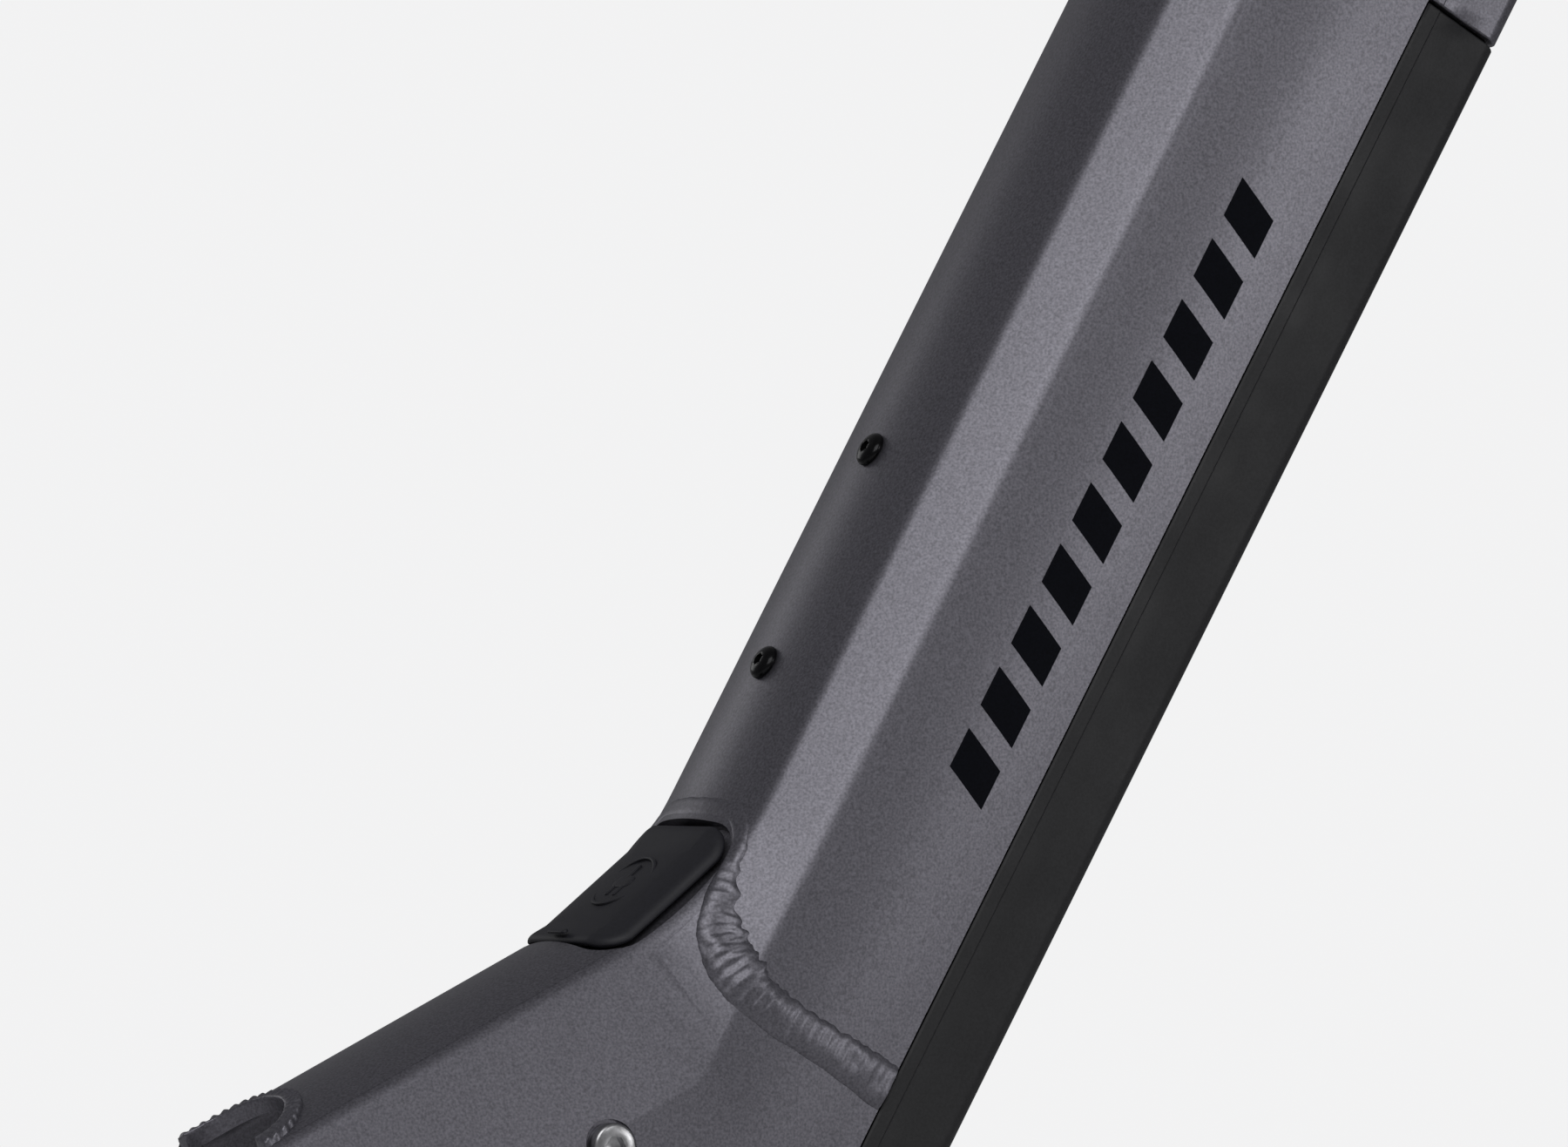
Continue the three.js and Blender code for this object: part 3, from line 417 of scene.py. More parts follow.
case_alloy = textured("case_alloy", (0.06, 0.062, 0.068), 0.2, 0.42, 1400, bump=0.15, metallic=0.85)
cell_sleeve = textured("cell_sleeve", (0.03, 0.16, 0.26), 0.12, 0.38, 600, bump=0.08)
tray_plastic = textured("tray_plastic", (0.6, 0.6, 0.56), 0.06, 0.55, 700, bump=0.12)
board_green = textured("board_green", (0.012, 0.1, 0.045), 0.25, 0.4, 500, bump=0.1)
brass = textured("brass_contact", (0.5, 0.36, 0.13), 0.12, 0.28, 900, bump=0.05, metallic=1.0)
gasket_rubber = textured("gasket_rubber", (0.02, 0.02, 0.02), 0.25, 0.8, 900, bump=0.2)
window_plastic = textured("window_plastic", (0.05, 0.06, 0.07), 0.1, 0.12, 400, bump=0.02)

SLOT_MATERIALS = {
    "frame_paint": paint, "cover_plastic": cover_plastic, "dark_plastic": dark_plastic,
    "flap_rubber": flap_rubber, "black_steel": black_steel, "silver_steel": silver_steel,
    "case_alloy": case_alloy, "cell_sleeve": cell_sleeve, "tray_plastic": tray_plastic,
    "board_green": board_green, "brass_contact": brass, "gasket_rubber": gasket_rubber,
    "window_plastic": window_plastic,
}


def finish(piece, look, slot, body, *replaced):
    """Gives a new piece its look and its body, and hides the CAD nodes it stands for. The slot argument is
    not used.
    """
    piece.data.materials.clear()
    piece.data.materials.append(look)
    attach(piece, body)
    if replaced:
        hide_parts(*replaced)
    return piece


# ---------- logs the shells are cut from ----------

RUN_TOP = BEND_START - TUBE_END
RUN_END = BEND_LENGTH + ARM_REACH
straight_runs = list(np.linspace(RUN_TOP, -10, 24)) + [-5, 0]
bend_runs = list(np.linspace(0, BEND_LENGTH, 18)[1:])
arm_runs = list(np.linspace(BEND_LENGTH, RUN_END, 8)[1:])
RUNS = straight_runs + bend_runs + arm_runs


def log(name, distance, foot=SKIRT, runs=RUNS):
    """A solid with the tube's outline, grown by a distance, along the top line."""
    return loft(name, [ring(run, distance, foot) for run in runs])


outer = log("outer_log", 0)
surface = BVHTree.FromObject(outer, bpy.context.evaluated_depsgraph_get())
BAY_FLOOR = min(vertex.co.z for vertex in nodes["bracket_shell"].data.vertices) / MM - CROWN.z / MM
SEAT_TUBE_X, SEAT_TUBE_Z = -172, -99
SEAT_TUBE_LEAN = math.radians(65)
SEAT_TUBE_RADIUS = 18.5

FLANK_WELD = -89
TONGUE_END = -42.5
TONGUE_HALF = 27.5
FAR = 70             # sideways, past the flanks
FAR_ALONG = 400      # along the tube, past both ends
FAR_UP = 400
BRACKET_TOP = 260
PAST_TONGUE = -20
LEVEL_TOP = 60


def below_weld(name):
    """The bracket's side of the weld line, seen square to the crown."""
    outline = [(-FAR_ALONG, -FAR), (FLANK_WELD, -FAR), (FLANK_WELD, -TONGUE_HALF), (TONGUE_END, -TONGUE_HALF),
               (TONGUE_END, TONGUE_HALF), (FLANK_WELD, TONGUE_HALF), (FLANK_WELD, FAR), (-FAR_ALONG, FAR)]
    return plan_solid(name, outline, -60, 300)


def on_seat_tube(z):
    return level_site(SEAT_TUBE_X - (z - SEAT_TUBE_Z) / math.tan(SEAT_TUBE_LEAN), z)


def floor_height(along):
    """Height above the cover's underside of the level edge at this place along the tube."""
    return DEPTH + (BAY_FLOOR - along * ALONG.z) / OUT.z


side_view = side_solid("bracket_side", [
    (PAST_TONGUE, SEAM), (PAST_TONGUE, BRACKET_TOP), on_seat_tube(LEVEL_TOP), on_seat_tube(BAY_FLOOR),
    (BRACKET_END, floor_height(BRACKET_END)), (BRACKET_END, SEAM)])


SEAT_AXIS = Vector((-math.cos(SEAT_TUBE_LEAN), 0, math.sin(SEAT_TUBE_LEAN)))
SEAT_FORWARD = Vector((math.sin(SEAT_TUBE_LEAN), 0, math.cos(SEAT_TUBE_LEAN)))
SEAT_CENTRE = CROWN + Vector((SEAT_TUBE_X, 0, SEAT_TUBE_Z)) * MM
SEAT_REACH = 130


def seat_cylinder(name, radius):
    """The seat tube's outside, along its own axis."""
    return prism(name, circle(radius, 96), -SEAT_REACH, SEAT_REACH,
                 lambda u, v, w: SEAT_CENTRE + (SEAT_FORWARD * u + ACROSS * v + SEAT_AXIS * w) * MM)


# ---------- tube shell ----------

tube = log("down_tube_skin", 0)
boolean(tube, log("bore", -TUBE_WALL, SKIRT + 5, [RUN_TOP - 5] + RUNS + [RUN_END + 5]), "DIFFERENCE")
boolean(tube, box_solid("above_seam", (-FAR_ALONG, FAR_ALONG), (-FAR, FAR), (SEAM, FAR_UP)), "INTERSECT")
boolean(tube, below_weld("below"), "DIFFERENCE")
BOSS_HOLE = 2.8
KEY_HOLE = 11.6
for along in (0, BOLT_STEP):
    boolean(tube, rod_out("boss_hole", along, 0, BOSS_HOLE, DEPTH - 34, DEPTH + 26), "DIFFERENCE")
sleeve = middle("lock_sleeve")
KEY_ALONG = (sleeve - CROWN).dot(ALONG) / MM
KEY_HEIGHT = DEPTH + (sleeve - CROWN).dot(OUT) / MM
boolean(tube, rod_across("key_hole", KEY_ALONG, KEY_HEIGHT, KEY_HOLE, SIDE / 2, FAR), "DIFFERENCE")
smooth(tube, 32)
finish(tube, paint, "frame_paint", "root", "down_tube_shell")


# ---------- bracket shell with the charge recess ----------

FLAP_LENGTH = 49
FLAP_WIDTH = 47
FLAP_CORNER = 9
FLAP_GAP = 1.3
FLAP_FROM_BEND = 12
FLAP_MIDDLE = FLAP_FROM_BEND + FLAP_LENGTH / 2
FLAP_PROUD = 2
FLAP_DEPTH = 0.9
RECESS_DEPTH = 2.4


def rounded_rectangle(half_u, half_v, radius, steps=8):
    points = []
    radius = max(min(radius, half_u, half_v), 0.05)
    for corner, (side_u, side_v) in enumerate(((1, 1), (-1, 1), (-1, -1), (1, -1))):
        for step in range(steps + 1):
            angle = math.pi / 2 * (corner + step / steps)
            points.append((side_u * (half_u - radius) + radius * math.cos(angle),
                           side_v * (half_v - radius) + radius * math.sin(angle)))
    return points


def on_top(u, v, lift, centre=FLAP_MIDDLE):
    """A place over the top line: u past the centre, v sideways, lifted off the crown."""
    along, height, turn = path(centre + u)
    rise = lift - v * v / (2 * CROWN_RADIUS)
    return at(along + rise * math.sin(turn), v, height + rise * math.cos(turn))


def plate(name, half_u, half_v, corner, profile, place, steps=8):
    """A closed plate: profile lists (inset, height) from the underside's middle round to the top's middle."""
    rings = []
    for inset, height in profile:
        outline = rounded_rectangle(half_u - inset, half_v - inset, corner - inset, steps)
        rings.append([place(u, v, height) for u, v in outline])
    return loft(name, rings)


bracket = log("bracket_skin", 0)
boolean(bracket, log("bore", -BRACKET_WALL, SKIRT + 5, [RUN_TOP - 5] + RUNS + [RUN_END + 5]), "DIFFERENCE")
boolean(bracket, side_view, "INTERSECT", keep_tool=True)
boolean(bracket, below_weld("below"), "INTERSECT")
boolean(bracket, seat_cylinder("seat_tube", SEAT_TUBE_RADIUS + 0.3), "DIFFERENCE")
recess = plate("recess", FLAP_LENGTH / 2 + FLAP_GAP, FLAP_WIDTH / 2 + FLAP_GAP, FLAP_CORNER + FLAP_GAP,
               [(20, -RECESS_DEPTH), (10, -RECESS_DEPTH), (0.6, -RECESS_DEPTH), (0, -RECESS_DEPTH + 0.6),
                (0, 6), (10, 6), (20, 6)], on_top)
boolean(bracket, recess, "DIFFERENCE")
PORT_FROM_FLAP = 30
PORT_RUN = FLAP_FROM_BEND + PORT_FROM_FLAP
port_along, port_height, port_turn = path(PORT_RUN)
PORT_AXIS = (ALONG * math.sin(port_turn) + OUT * math.cos(port_turn)).normalized()
PORT_SIDE = (ALONG * math.cos(port_turn) - OUT * math.sin(port_turn)).normalized()
PORT = at(port_along, 0, port_height)


def port_rod(name, radius, start, end):
    return prism(name, circle(radius), start, end,
                 lambda u, v, w: PORT + (PORT_SIDE * u + ACROSS * v + PORT_AXIS * w) * MM)


PORT_HOLE = 11.6
MOTOR_SPOT = 7.2
MOTOR_HOLE = 4.3
SPOT_FACE = 37.2
boolean(bracket, port_rod("port_hole", PORT_HOLE, -20, 10), "DIFFERENCE")
MOTOR_BOLTS = [name for name in nodes if name.startswith("motor_bolt_")]
for name in MOTOR_BOLTS:
    place = middle(name) - CROWN
    along, height = place.dot(ALONG) / MM, DEPTH + place.dot(OUT) / MM
    spot_span = (-FAR, -SPOT_FACE) if place.y < 0 else (SPOT_FACE, FAR)
    boolean(bracket, rod_across("spot", along, height, MOTOR_SPOT, *spot_span), "DIFFERENCE")
    boolean(bracket, rod_across("hole", along, height, MOTOR_HOLE, -FAR, FAR), "DIFFERENCE")
smooth(bracket, 32)
finish(bracket, paint, "frame_paint", "root", "bracket_shell")


# ---------- welds ----------

def on_surface(point):
    """The nearest place on the tube's outside, with the way out of it."""
    place, normal, _, _ = surface.find_nearest(point)
    return place, normal


def polyline(points, spacing=0.8):
    """Even stations along a chain of control places, smoothed at its corners."""
    dense = []
    for start, end in zip(points, points[1:]):
        count = max(int((end[0] - start[0]).length / (0.5 * MM)), 2)
        dense += [tuple(a + (b - a) * (step / count) for a, b in zip(start, end)) for step in range(count)]
    dense.append(points[-1])
    for _ in range(60):
        dense = [dense[0]] + [tuple((a + b * 2 + c) / 4 for a, b, c in zip(*three))
                              for three in zip(dense, dense[1:], dense[2:])] + [dense[-1]]
    kept = [dense[0]]
    for one in dense[1:]:
        if (one[0] - kept[-1][0]).length > spacing * MM:
            kept.append(one)
    return kept


CHEVRON_PITCH = 3.1
CHEVRON_BOW = 1.6


def bead(name, points, seed=0.0, root=2.2, lanes=22):
    """A weld bead on the tube's surface. Each control place is (place, half width, height, roughness)."""
    stations = polyline(points)
    rings = []
    travelled = 0
    for index, (place, half, rise, rough) in enumerate(stations):
        before = stations[max(index - 1, 0)][0]
        after = stations[min(index + 1, len(stations) - 1)][0]
        travelled += (place - before).length / MM
        centre, normal = on_surface(place)
        run = (after - before).normalized()
        side = normal.cross(run).normalized()
        wander = noise.noise(Vector((travelled * 0.11, seed, 4.0)))
        scallop = noise.noise(Vector((travelled * 0.45, seed, 9.0)))
        low_edge = half * (1 + 0.10 * rough * wander + 0.16 * rough * scallop)
        high_edge = half * (1 + 0.10 * rough * wander)
        top, bottom = [], []
        for lane in range(lanes + 1):
            share = lane / lanes * 2 - 1
            reach_out = share * (high_edge if share > 0 else low_edge)
            spot, up = on_surface(centre + side * reach_out * MM)
            dome = max(1 - abs(share) ** 2.6, 0) ** 0.8
            chevron = math.cos(math.tau * (travelled - CHEVRON_BOW * (1 - share * share)) / CHEVRON_PITCH)
            lump = noise.noise(Vector((travelled * 0.16, share * 1.1, seed)))
            lift = rise * dome * (1 + rough * (0.12 * chevron + 0.35 * lump)) - 0.25 * abs(share) ** 8
            top.append(spot + up * lift * MM)
            bottom.append(spot - up * root * MM)
        rings.append(top + bottom[::-1])
    return loft(name, rings)


def tube_weld():
    """The bracket's tongue and flanks are welded to the tube along one closed line."""
    left = [
        (at(FLANK_WELD + 1, -SIDE, SEAM + 0.2), 6.4, 1.3, 1.0),
        (at(FLANK_WELD + 1, -SIDE, 40), 6.2, 1.3, 1.0),
        (at(FLANK_WELD + 1, -SIDE, 64), 6.2, 1.35, 1.3),
        (at(FLANK_WELD + 3, 1 - SIDE, 75), 6.8, 1.5, 2.0),
        (at(-80, -33.5, 84), 7.2, 1.3, 2.4),
        (at(-72, -30, 89), 5.8, 0.9, 2.4),
        (at(-60, -28, 91), 3.4, 0.6, 2.0),
        (at(-50, -26.5, 92), 2.6, 0.35, 1.2),
        (at(TONGUE_END, -19, 93), 2.8, 0.25, 0.8),
        (at(TONGUE_END, 0, 95), 3.0, 0.25, 0.8),
    ]
    right = [(Vector((place.x, -place.y, place.z)), half, rise, rough) for place, half, rise, rough in left]
    return bead("tube_weld_bead", left + right[::-1][1:], seed=3.7)


weld = tube_weld()
boolean(weld, box_solid("above_seam", (-FAR_ALONG, FAR_ALONG), (-FAR, FAR), (SEAM, FAR_UP)), "INTERSECT")
smooth(weld, 60)
finish(weld, paint, "frame_paint", "root", "tube_weld")

STRANDS = 46
STRAND_RISE = 0.32
STRAND_SPREAD = 0.1


def seat_weld():
    """The bead round the seat tube, with its strands running out from the tube."""
    shape = nodes["seat_tube_weld"].data
    made = mesh_object("seat_tube_weld_bead", [vertex.co for vertex in shape.vertices],
                       [tuple(face.vertices) for face in shape.polygons])
    fine = made.modifiers.new("fine", "REMESH")
    fine.mode = "VOXEL"
    fine.voxel_size = 0.45 * MM
    soft = made.modifiers.new("soft", "SMOOTH")
    soft.factor = 0.5
    soft.iterations = 5
    apply_modifiers(made)
    for vertex in made.data.vertices:
        spoke = vertex.co - SEAT_CENTRE
        spoke -= SEAT_AXIS * spoke.dot(SEAT_AXIS)
        angle = math.atan2(spoke.dot(ACROSS), spoke.dot(SEAT_FORWARD))
        wander = noise.noise(vertex.co * 120)
        strand = math.cos(STRANDS * angle + 2.2 * wander)
        beyond = min(max((spoke.length / MM - SEAT_TUBE_RADIUS - 0.8) / 1.5, 0), 1)
        vertex.co += spoke.normalized() * STRAND_SPREAD * strand * beyond * MM
        vertex.co += SEAT_AXIS * (STRAND_RISE * strand * beyond + 0.25 * wander * beyond) * MM
    made.data.update()
    return made


seat_bead = seat_weld()
smooth(seat_bead, 70)
finish(seat_bead, paint, "frame_paint", "root", "seat_tube_weld")


# ---------- charge flap ----------

flap_profile = [
    (21, -FLAP_DEPTH), (12, -FLAP_DEPTH), (1.6, -FLAP_DEPTH), (1.0, -FLAP_DEPTH + 0.3), (0.5, 0.1),
    (0.5, 0.6), (0.75, 1.1), (1.2, 1.5), (1.9, 1.8), (2.8, 1.95), (3.8, FLAP_PROUD), (6, FLAP_PROUD),
    (9, FLAP_PROUD), (12, FLAP_PROUD), (15, FLAP_PROUD), (18, FLAP_PROUD), (21, FLAP_PROUD)]
flap = plate("charge_flap_skin", FLAP_LENGTH / 2, FLAP_WIDTH / 2, FLAP_CORNER, flap_profile, on_top, 10)
smooth(flap, 50)
finish(flap, flap_rubber, "flap_rubber", "flap", "charge_flap")

EMBLEM_FROM_EDGE = 23.6
EMBLEM_RUN = EMBLEM_FROM_EDGE - FLAP_LENGTH / 2


def raised_ring(name, radius, width, height, place, centre_u, segments=72, base=FLAP_PROUD):
    """A raised ring with a rounded top, on a surface given by place(u, v, lift)."""
    profile = [(-width / 2, -0.3), (-width / 2, height * 0.5), (-width / 4, height), (width / 4, height),
               (width / 2, height * 0.5), (width / 2, -0.3)]
    vertices, faces = [], []
    for step in range(segments):
        angle = math.tau * step / segments
        for across, lift in profile:
            reach_out = radius + across
            u = centre_u + reach_out * math.cos(angle)
            v = reach_out * math.sin(angle)
            vertices.append(place(u, v, base + lift))
    count = len(profile)
    for step in range(segments):
        following = (step + 1) % segments
        for index in range(count):
            after = (index + 1) % count
            faces.append((step * count + index, following * count + index,
                          following * count + after, step * count + after))
    made = mesh_object(name, vertices, faces)
    face_outwards(made)
    return made


def raised_bar(name, start, end, half, height, place, base=FLAP_PROUD):
    """A raised bar with round ends between two (u, v) places."""
    a, b = Vector(start), Vector(end)
    run = (b - a)
    length = run.length / 2
    along = run.normalized() if run.length else Vector((1, 0))
    side = Vector((-along.y, along.x))
    centre = (a + b) / 2

    def turned(u, v, lift):
        spot = centre + along * u + side * v
        return place(spot.x, spot.y, base + lift)

    trim = min(0.35, half * 0.5)
    profile = [(half * 0.9, -0.3), (0, -0.3), (0, height * 0.5), (trim * 0.4, height * 0.85), (trim, height),
               (half * 0.9, height)]
    return plate(name, length + half, half, half, profile, turned, 6)


def join(name, parts):
    """One piece made of several."""
    shape = bmesh.new()
    for part in parts:
        shape.from_mesh(part.data)
        bpy.data.objects.remove(part)
    mesh = bpy.data.meshes.new(name)
    shape.to_mesh(mesh)
    shape.free()
    made = bpy.data.objects.new(name, mesh)
    bpy.context.scene.collection.objects.link(made)
    return made


def plug_emblem():
    """A generic plug: a ring, a body with two blades and a bit of flex."""
    ring_part = raised_ring("ring", 9.6, 1.0, 0.35, on_top, EMBLEM_RUN)
    u = EMBLEM_RUN
    parts = [
        ring_part,
        raised_bar("body", (u, -2.0), (u, 2.0), 2.3, 0.35, on_top),
        raised_bar("blade", (u + 2, -1.9), (u + 5.2, -1.9), 0.6, 0.35, on_top),
        raised_bar("blade", (u + 2, 1.9), (u + 5.2, 1.9), 0.6, 0.35, on_top),
        raised_bar("flex", (u - 2, 0), (u - 6.2, 0), 0.6, 0.35, on_top),
    ]
    return join("flap_plug_emblem", parts)


emblem = plug_emblem()
smooth(emblem, 40)
finish(emblem, flap_rubber, "flap_rubber", "flap")
TAB_RUN = FLAP_LENGTH / 2 - 1.6
TAB_HALF = 3.4
pull_tab = raised_bar("flap_pull_tab", (TAB_RUN, -TAB_HALF), (TAB_RUN, TAB_HALF), 1.0, 0.45, on_top, base=1.6)
smooth(pull_tab, 40)
finish(pull_tab, flap_rubber, "flap_rubber", "flap")


# ---------- cover, nose and head-end channel ----------

COVER_WALL = 2.5
COVER_CORNER = 5.5


def cover_half(inset=0.0):
    """Right half of the cover's section from the middle of its floor to its rim, as (across, height)."""
    side = SIDE - 0.3
    corner = COVER_CORNER
    centre = Vector((side - corner - 0.8, corner))
    floor_line = [Vector((across, inset)) for across in np.linspace(0, centre.x, 8)]
    reach_in = corner - inset
    turn = [centre + Vector((math.sin(angle), -math.cos(angle))) * reach_in
            for angle in np.linspace(0, math.radians(82), 9)[1:]]
    wall = [Vector((side - 0.75 - inset, 14.6)), Vector((side - 0.62 - inset, 15.1)),
            Vector((side - 0.30 - inset, COVER_TOP - 4.4)), Vector((side + 0.05 - inset, COVER_TOP - 3.9)),
            Vector((side + 0.1 - inset, COVER_TOP - 0.6))]
    rim = [Vector((side - (inset or 0.25), COVER_TOP))]
    return floor_line + turn + wall + rim


def channel(name, start, end, edge=0.5):
    """An open channel of the cover's section, with eased ends."""
    outside = cover_half()
    inside = cover_half(COVER_WALL)
    section = ([Vector((-p.x, p.y)) for p in reversed(outside[1:])] + outside
               + list(reversed(inside)) + [Vector((-p.x, p.y)) for p in inside[1:]])
    centre_height = 12.0
    rings = []
    stations = [(start, edge), (start + edge * 0.4, edge * 0.35), (start + edge, 0)]
    stations += [(along, 0) for along in np.linspace(start + 6, end - 6, 10)]
    stations += [(end - edge, 0), (end - edge * 0.4, edge * 0.35), (end, edge)]
    count = len(outside) * 2 - 1
    for along, shrink in stations:
        ring_points = []
        for index, point in enumerate(section):
            share = shrink if index < count else -shrink * 0.2
            across = point.x - math.copysign(min(share, abs(point.x)), point.x)
            height = point.y + (share if point.y < centre_height else 0)
            ring_points.append(at(along, across, height))
        rings.append(ring_points)
    return loft(name, rings)


cover = channel("cover_skin", COVER_SPAN[0], COVER_SPAN[1])
BUTTON_HOLE = 7.4
CUT = (-5, 5)        # heights of the cuts through the cover's floor
button = middle("power_button") - CROWN
BUTTON_ALONG = button.dot(ALONG) / MM
BUTTON_ACROSS = button.y / MM
button_hole = [(BUTTON_ALONG + u, BUTTON_ACROSS + v) for u, v in circle(BUTTON_HOLE)]
boolean(cover, plan_solid("button_hole", button_hole, *CUT), "DIFFERENCE")
window_span = [reach("charge_window", axis) for axis in (ALONG, ACROSS)]
window_middle = [(low + high) / 2 for low, high in window_span]
window_half = [(high - low) / 2 + 0.3 for low, high in window_span]
window_hole = [(window_middle[0] + u, window_middle[1] + v) for u, v in rounded_rectangle(*window_half, 3.0)]
boolean(cover, plan_solid("window_hole", window_hole, *CUT), "DIFFERENCE")
smooth(cover, 30)
finish(cover, cover_plastic, "cover_plastic", "pack", "cover_shell")

nose = channel("lower_nose_skin", NOSE_SPAN[0], NOSE_SPAN[1])
smooth(nose, 30)
finish(nose, cover_plastic, "cover_plastic", "root", "lower_nose")

head_channel = channel("head_end_skin", HEAD_SPAN[0], HEAD_SPAN[1])
smooth(head_channel, 30)
finish(head_channel, paint, "frame_paint", "root", "head_end_channel")


# ---------- screws ----------

def name_of(node):
    return node + "_screw"


def turned(name, profile, place, sides=48):
    """A lathe-turned solid; profile lists (radius, rise) from the foot's middle to the top's middle."""
    rings = []
    for radius, rise in profile:
        rings.append([place(radius * math.cos(math.tau * step / sides),
                            radius * math.sin(math.tau * step / sides), rise) for step in range(sides)])
    return loft(name, rings)


def hex_hole(name, across_flats, place, foot, top):
    radius = across_flats / math.sqrt(3)
    return prism(name, circle(radius, 6), foot, top, place)


def bottle_bolt(node, along):
    """An M5 button-head screw with a hexagon socket."""
    head_foot = DEPTH

    def place(u, v, w):
        return at(along + u, v, head_foot + w)

    dome = [(4.75 * math.cos(angle) ** 0.75 if angle < 1.4 else 1.6, 0.6 + 2.1 * math.sin(angle))
            for angle in np.linspace(0, math.pi / 2, 9)]
    profile = [(0.5, -9), (2.4, -9), (2.5, -8.5), (2.5, 0.02), (4.3, 0.02), (4.7, 0.25), (4.75, 0.6)]
    profile += dome[1:-1] + [(1.7, 2.7), (0.6, 2.7)]
    screw = turned(name_of(node), profile, place)
    boolean(screw, hex_hole("socket", 3.1, place, 0.9, 4), "DIFFERENCE")
    bevel(screw, 0.12, 2, 50)
    smooth(screw, 40)
    return finish(screw, black_steel, "black_steel", "root", node)


bottle_bolt("bottle_bolt_lower", 0)
bottle_bolt("bottle_bolt_upper", BOLT_STEP)


def motor_bolt(node):
    """An M8 cap screw with a chamfered head and a hexagon socket."""
    low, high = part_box(node)
    centre = (low + high) / 2
    side = -1 if centre.y < 0 else 1
    outer_face = (low.y if side < 0 else high.y) / MM
    along = (centre - CROWN).dot(ALONG) / MM
    height = DEPTH + (centre - CROWN).dot(OUT) / MM

    def place(u, v, w):
        return at(along + u, outer_face - side * w, height + v)

    length = (high.y - low.y) / MM
    profile = [(0.6, length), (3.6, length), (4.0, length - 0.5), (4.0, 4.2), (6.0, 4.2), (6.2, 4.0),
               (6.2, 0.7), (5.9, 0.25), (5.4, 0.0), (3.4, 0.0), (1.0, 0.0)]
    screw = turned(name_of(node), profile, place)
    boolean(screw, hex_hole("socket", 5.1, place, -1, 2.6), "DIFFERENCE")
    bevel(screw, 0.15, 2, 50)
    smooth(screw, 40)
    return finish(screw, silver_steel, "silver_steel", "root", node)


for name in MOTOR_BOLTS:
    motor_bolt(name)


# ---------- charge-gauge pictogram ----------

GAUGE_BARS = 10
GAUGE_SPAN = (-12, 172)
GAUGE_LOW, GAUGE_HIGH = 39, 53
BAR_SHARE = 0.62
BAR_LEAN = 5
BAR_ROWS = 9
BAR_LIFTS = (-0.2, 0.12)


def gauge_bar(side, start, end):
    """A thin leaning bar that follows the flank's swell."""
    low, high = BAR_LIFTS
    rings = []
    for share in np.linspace(0, 1, BAR_ROWS):
        height = GAUGE_LOW + (GAUGE_HIGH - GAUGE_LOW) * share
        skin = SIDE + flank_bulge(DEPTH - CREASE_DROP - height)
        corners = ((start, low), (end, low), (end, high), (start, high))
        rings.append([at(along + BAR_LEAN * share, side * (skin + lift), height) for along, lift in corners])
    return loft("bar", rings)


def gauge(side, name):
    """A charge gauge: a row of plain leaning bars."""
    pitch = (GAUGE_SPAN[1] - GAUGE_SPAN[0]) / GAUGE_BARS
    starts = [GAUGE_SPAN[0] + index * pitch for index in range(GAUGE_BARS)]
    made = join(name, [gauge_bar(side, start, start + pitch * BAR_SHARE) for start in starts])
    return finish(made, decal_black, "dark_plastic", "root")


gauge(-1, "charge_gauge_right")
gauge(1, "charge_gauge_left")


# ---------- floor, light and camera ----------

CAMERA_FROM = math.radians(-30)
BACK = Vector((math.sin(CAMERA_FROM), -math.cos(CAMERA_FROM), 0))
RIGHT = Vector((math.cos(CAMERA_FROM), math.sin(CAMERA_FROM), 0))
VIEW_RIGHT = 4.8
VIEW_UP = 23.4
CAMERA_DISTANCE = 6.0
VIEW_WIDTH = 407.4
SENSOR = 36

low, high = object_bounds()
floor_shape = bmesh.new()
bmesh.ops.create_circle(floor_shape, cap_ends=True, radius=1.2, segments=96)
floor_mesh = bpy.data.meshes.new("floor")
floor_shape.to_mesh(floor_mesh)
floor_shape.free()
floor = bpy.data.objects.new("floor", floor_mesh)
bpy.context.scene.collection.objects.link(floor)
floor.location = ((low.x + high.x) / 2, 0, low.z - 0.02)
floor.data.materials.append(textured("studio_floor", (0.8, 0.8, 0.8), 0.02, 0.6, 12))


def area_light(name, direction, distance, size, power, aim=Vector((-0.15, 0, -0.2))):
    light = bpy.data.lights.new(name, "AREA")
    light.shape = "RECTANGLE"
    light.size, light.size_y = size
    light.energy = power
    made = bpy.data.objects.new(name, light)
    made.location = aim + Vector(direction).normalized() * distance
    made.rotation_euler = (aim - made.location).to_track_quat("-Z", "Y").to_euler()
    bpy.context.scene.collection.objects.link(made)
    return made


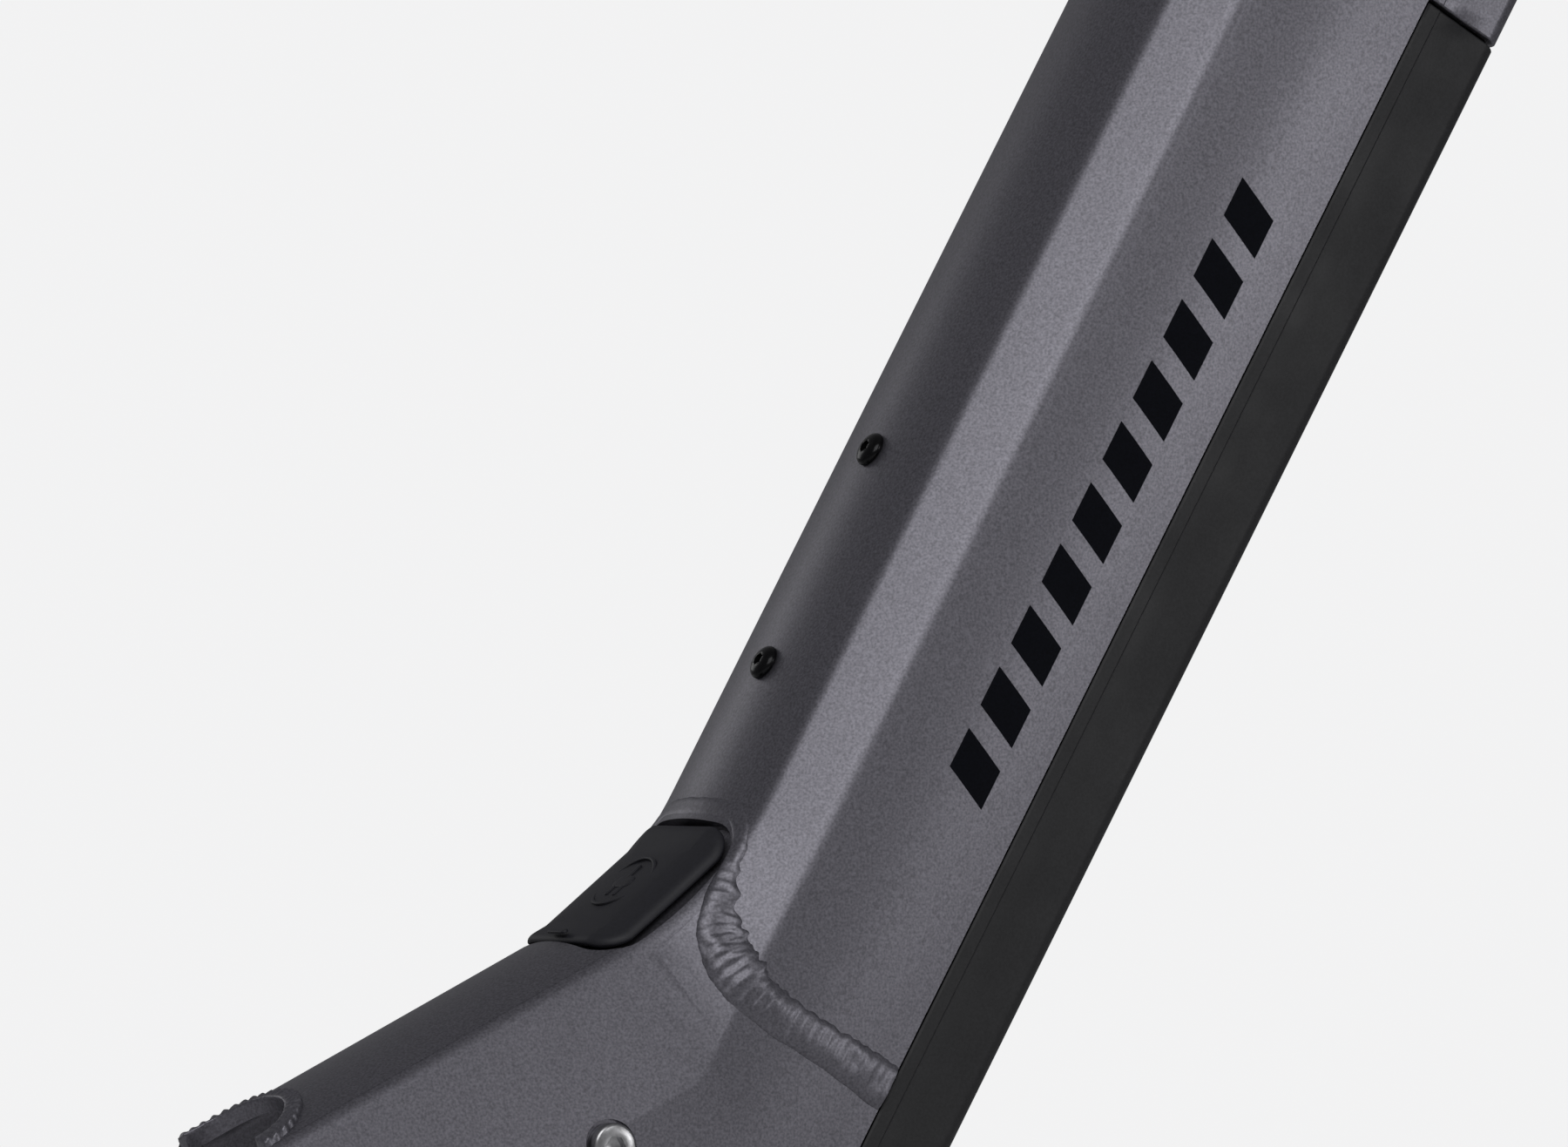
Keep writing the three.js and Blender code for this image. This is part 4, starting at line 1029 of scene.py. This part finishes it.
FLANK_MIRROR = Vector((0.6, -0.8, -0.07))
FACET_MIRROR = Vector((-0.49, -0.65, 0.57))
CROWN_MIRROR = Vector((-0.35, 0.93, 0.25))
ARM_MIRROR = Vector((0.3, -0.86, 0.41))
area_light("facet_light", FACET_MIRROR, 1.6, (1.3, 1.0), 9.8, at(80, 0, 60))
area_light("flank_light", FLANK_MIRROR, 1.5, (0.25, 0.25), 2.1, at(215, 0, 36))
area_light("arm_light", ARM_MIRROR, 1.3, (0.3, 0.3), 0.8, at(-110, 0, 100))
area_light("rim_light", CROWN_MIRROR, 1.5, (0.6, 0.6), 1.2, at(60, 0, 60))

ROOM_LIGHT = 0.16
BACKDROP = 0.89

world = bpy.data.worlds.new("studio")
world.use_nodes = True
room = world.node_tree
backdrop = room.nodes["Background"]
backdrop.inputs["Color"].default_value = (BACKDROP, BACKDROP, BACKDROP * 1.005, 1)
fill = room.nodes.new("ShaderNodeBackground")
fill.inputs["Color"].default_value = (ROOM_LIGHT, ROOM_LIGHT, ROOM_LIGHT * 1.04, 1)
seen = room.nodes.new("ShaderNodeLightPath")
choice = room.nodes.new("ShaderNodeMixShader")
room.links.new(seen.outputs["Is Camera Ray"], choice.inputs["Fac"])
room.links.new(fill.outputs["Background"], choice.inputs[1])
room.links.new(backdrop.outputs["Background"], choice.inputs[2])
room.links.new(choice.outputs["Shader"], room.nodes["World Output"].inputs["Surface"])
bpy.context.scene.world = world
bpy.context.scene.view_settings.view_transform = "Standard"

camera_data = bpy.data.cameras.new("camera")
camera_data.sensor_width = SENSOR
camera_data.lens = SENSOR * CAMERA_DISTANCE / (VIEW_WIDTH * MM)
camera_data.clip_start = 0.1
camera_data.clip_end = 100
camera = bpy.data.objects.new("camera", camera_data)
camera.location = CROWN + (RIGHT * VIEW_RIGHT + Vector((0, 0, VIEW_UP))) * MM + BACK * CAMERA_DISTANCE
camera.rotation_euler = (-BACK).to_track_quat("-Z", "Y").to_euler()
bpy.context.scene.collection.objects.link(camera)
bpy.context.scene.camera = camera


# ---------- what isn't part of the object ----------

for helper in (outer, side_view):
    bpy.data.objects.remove(helper)

for part in frame["record"]["subparts"]:
    node = nodes[part["node"]]
    node.data.materials.clear()
    node.data.materials.append(SLOT_MATERIALS[part["material_slot"]])
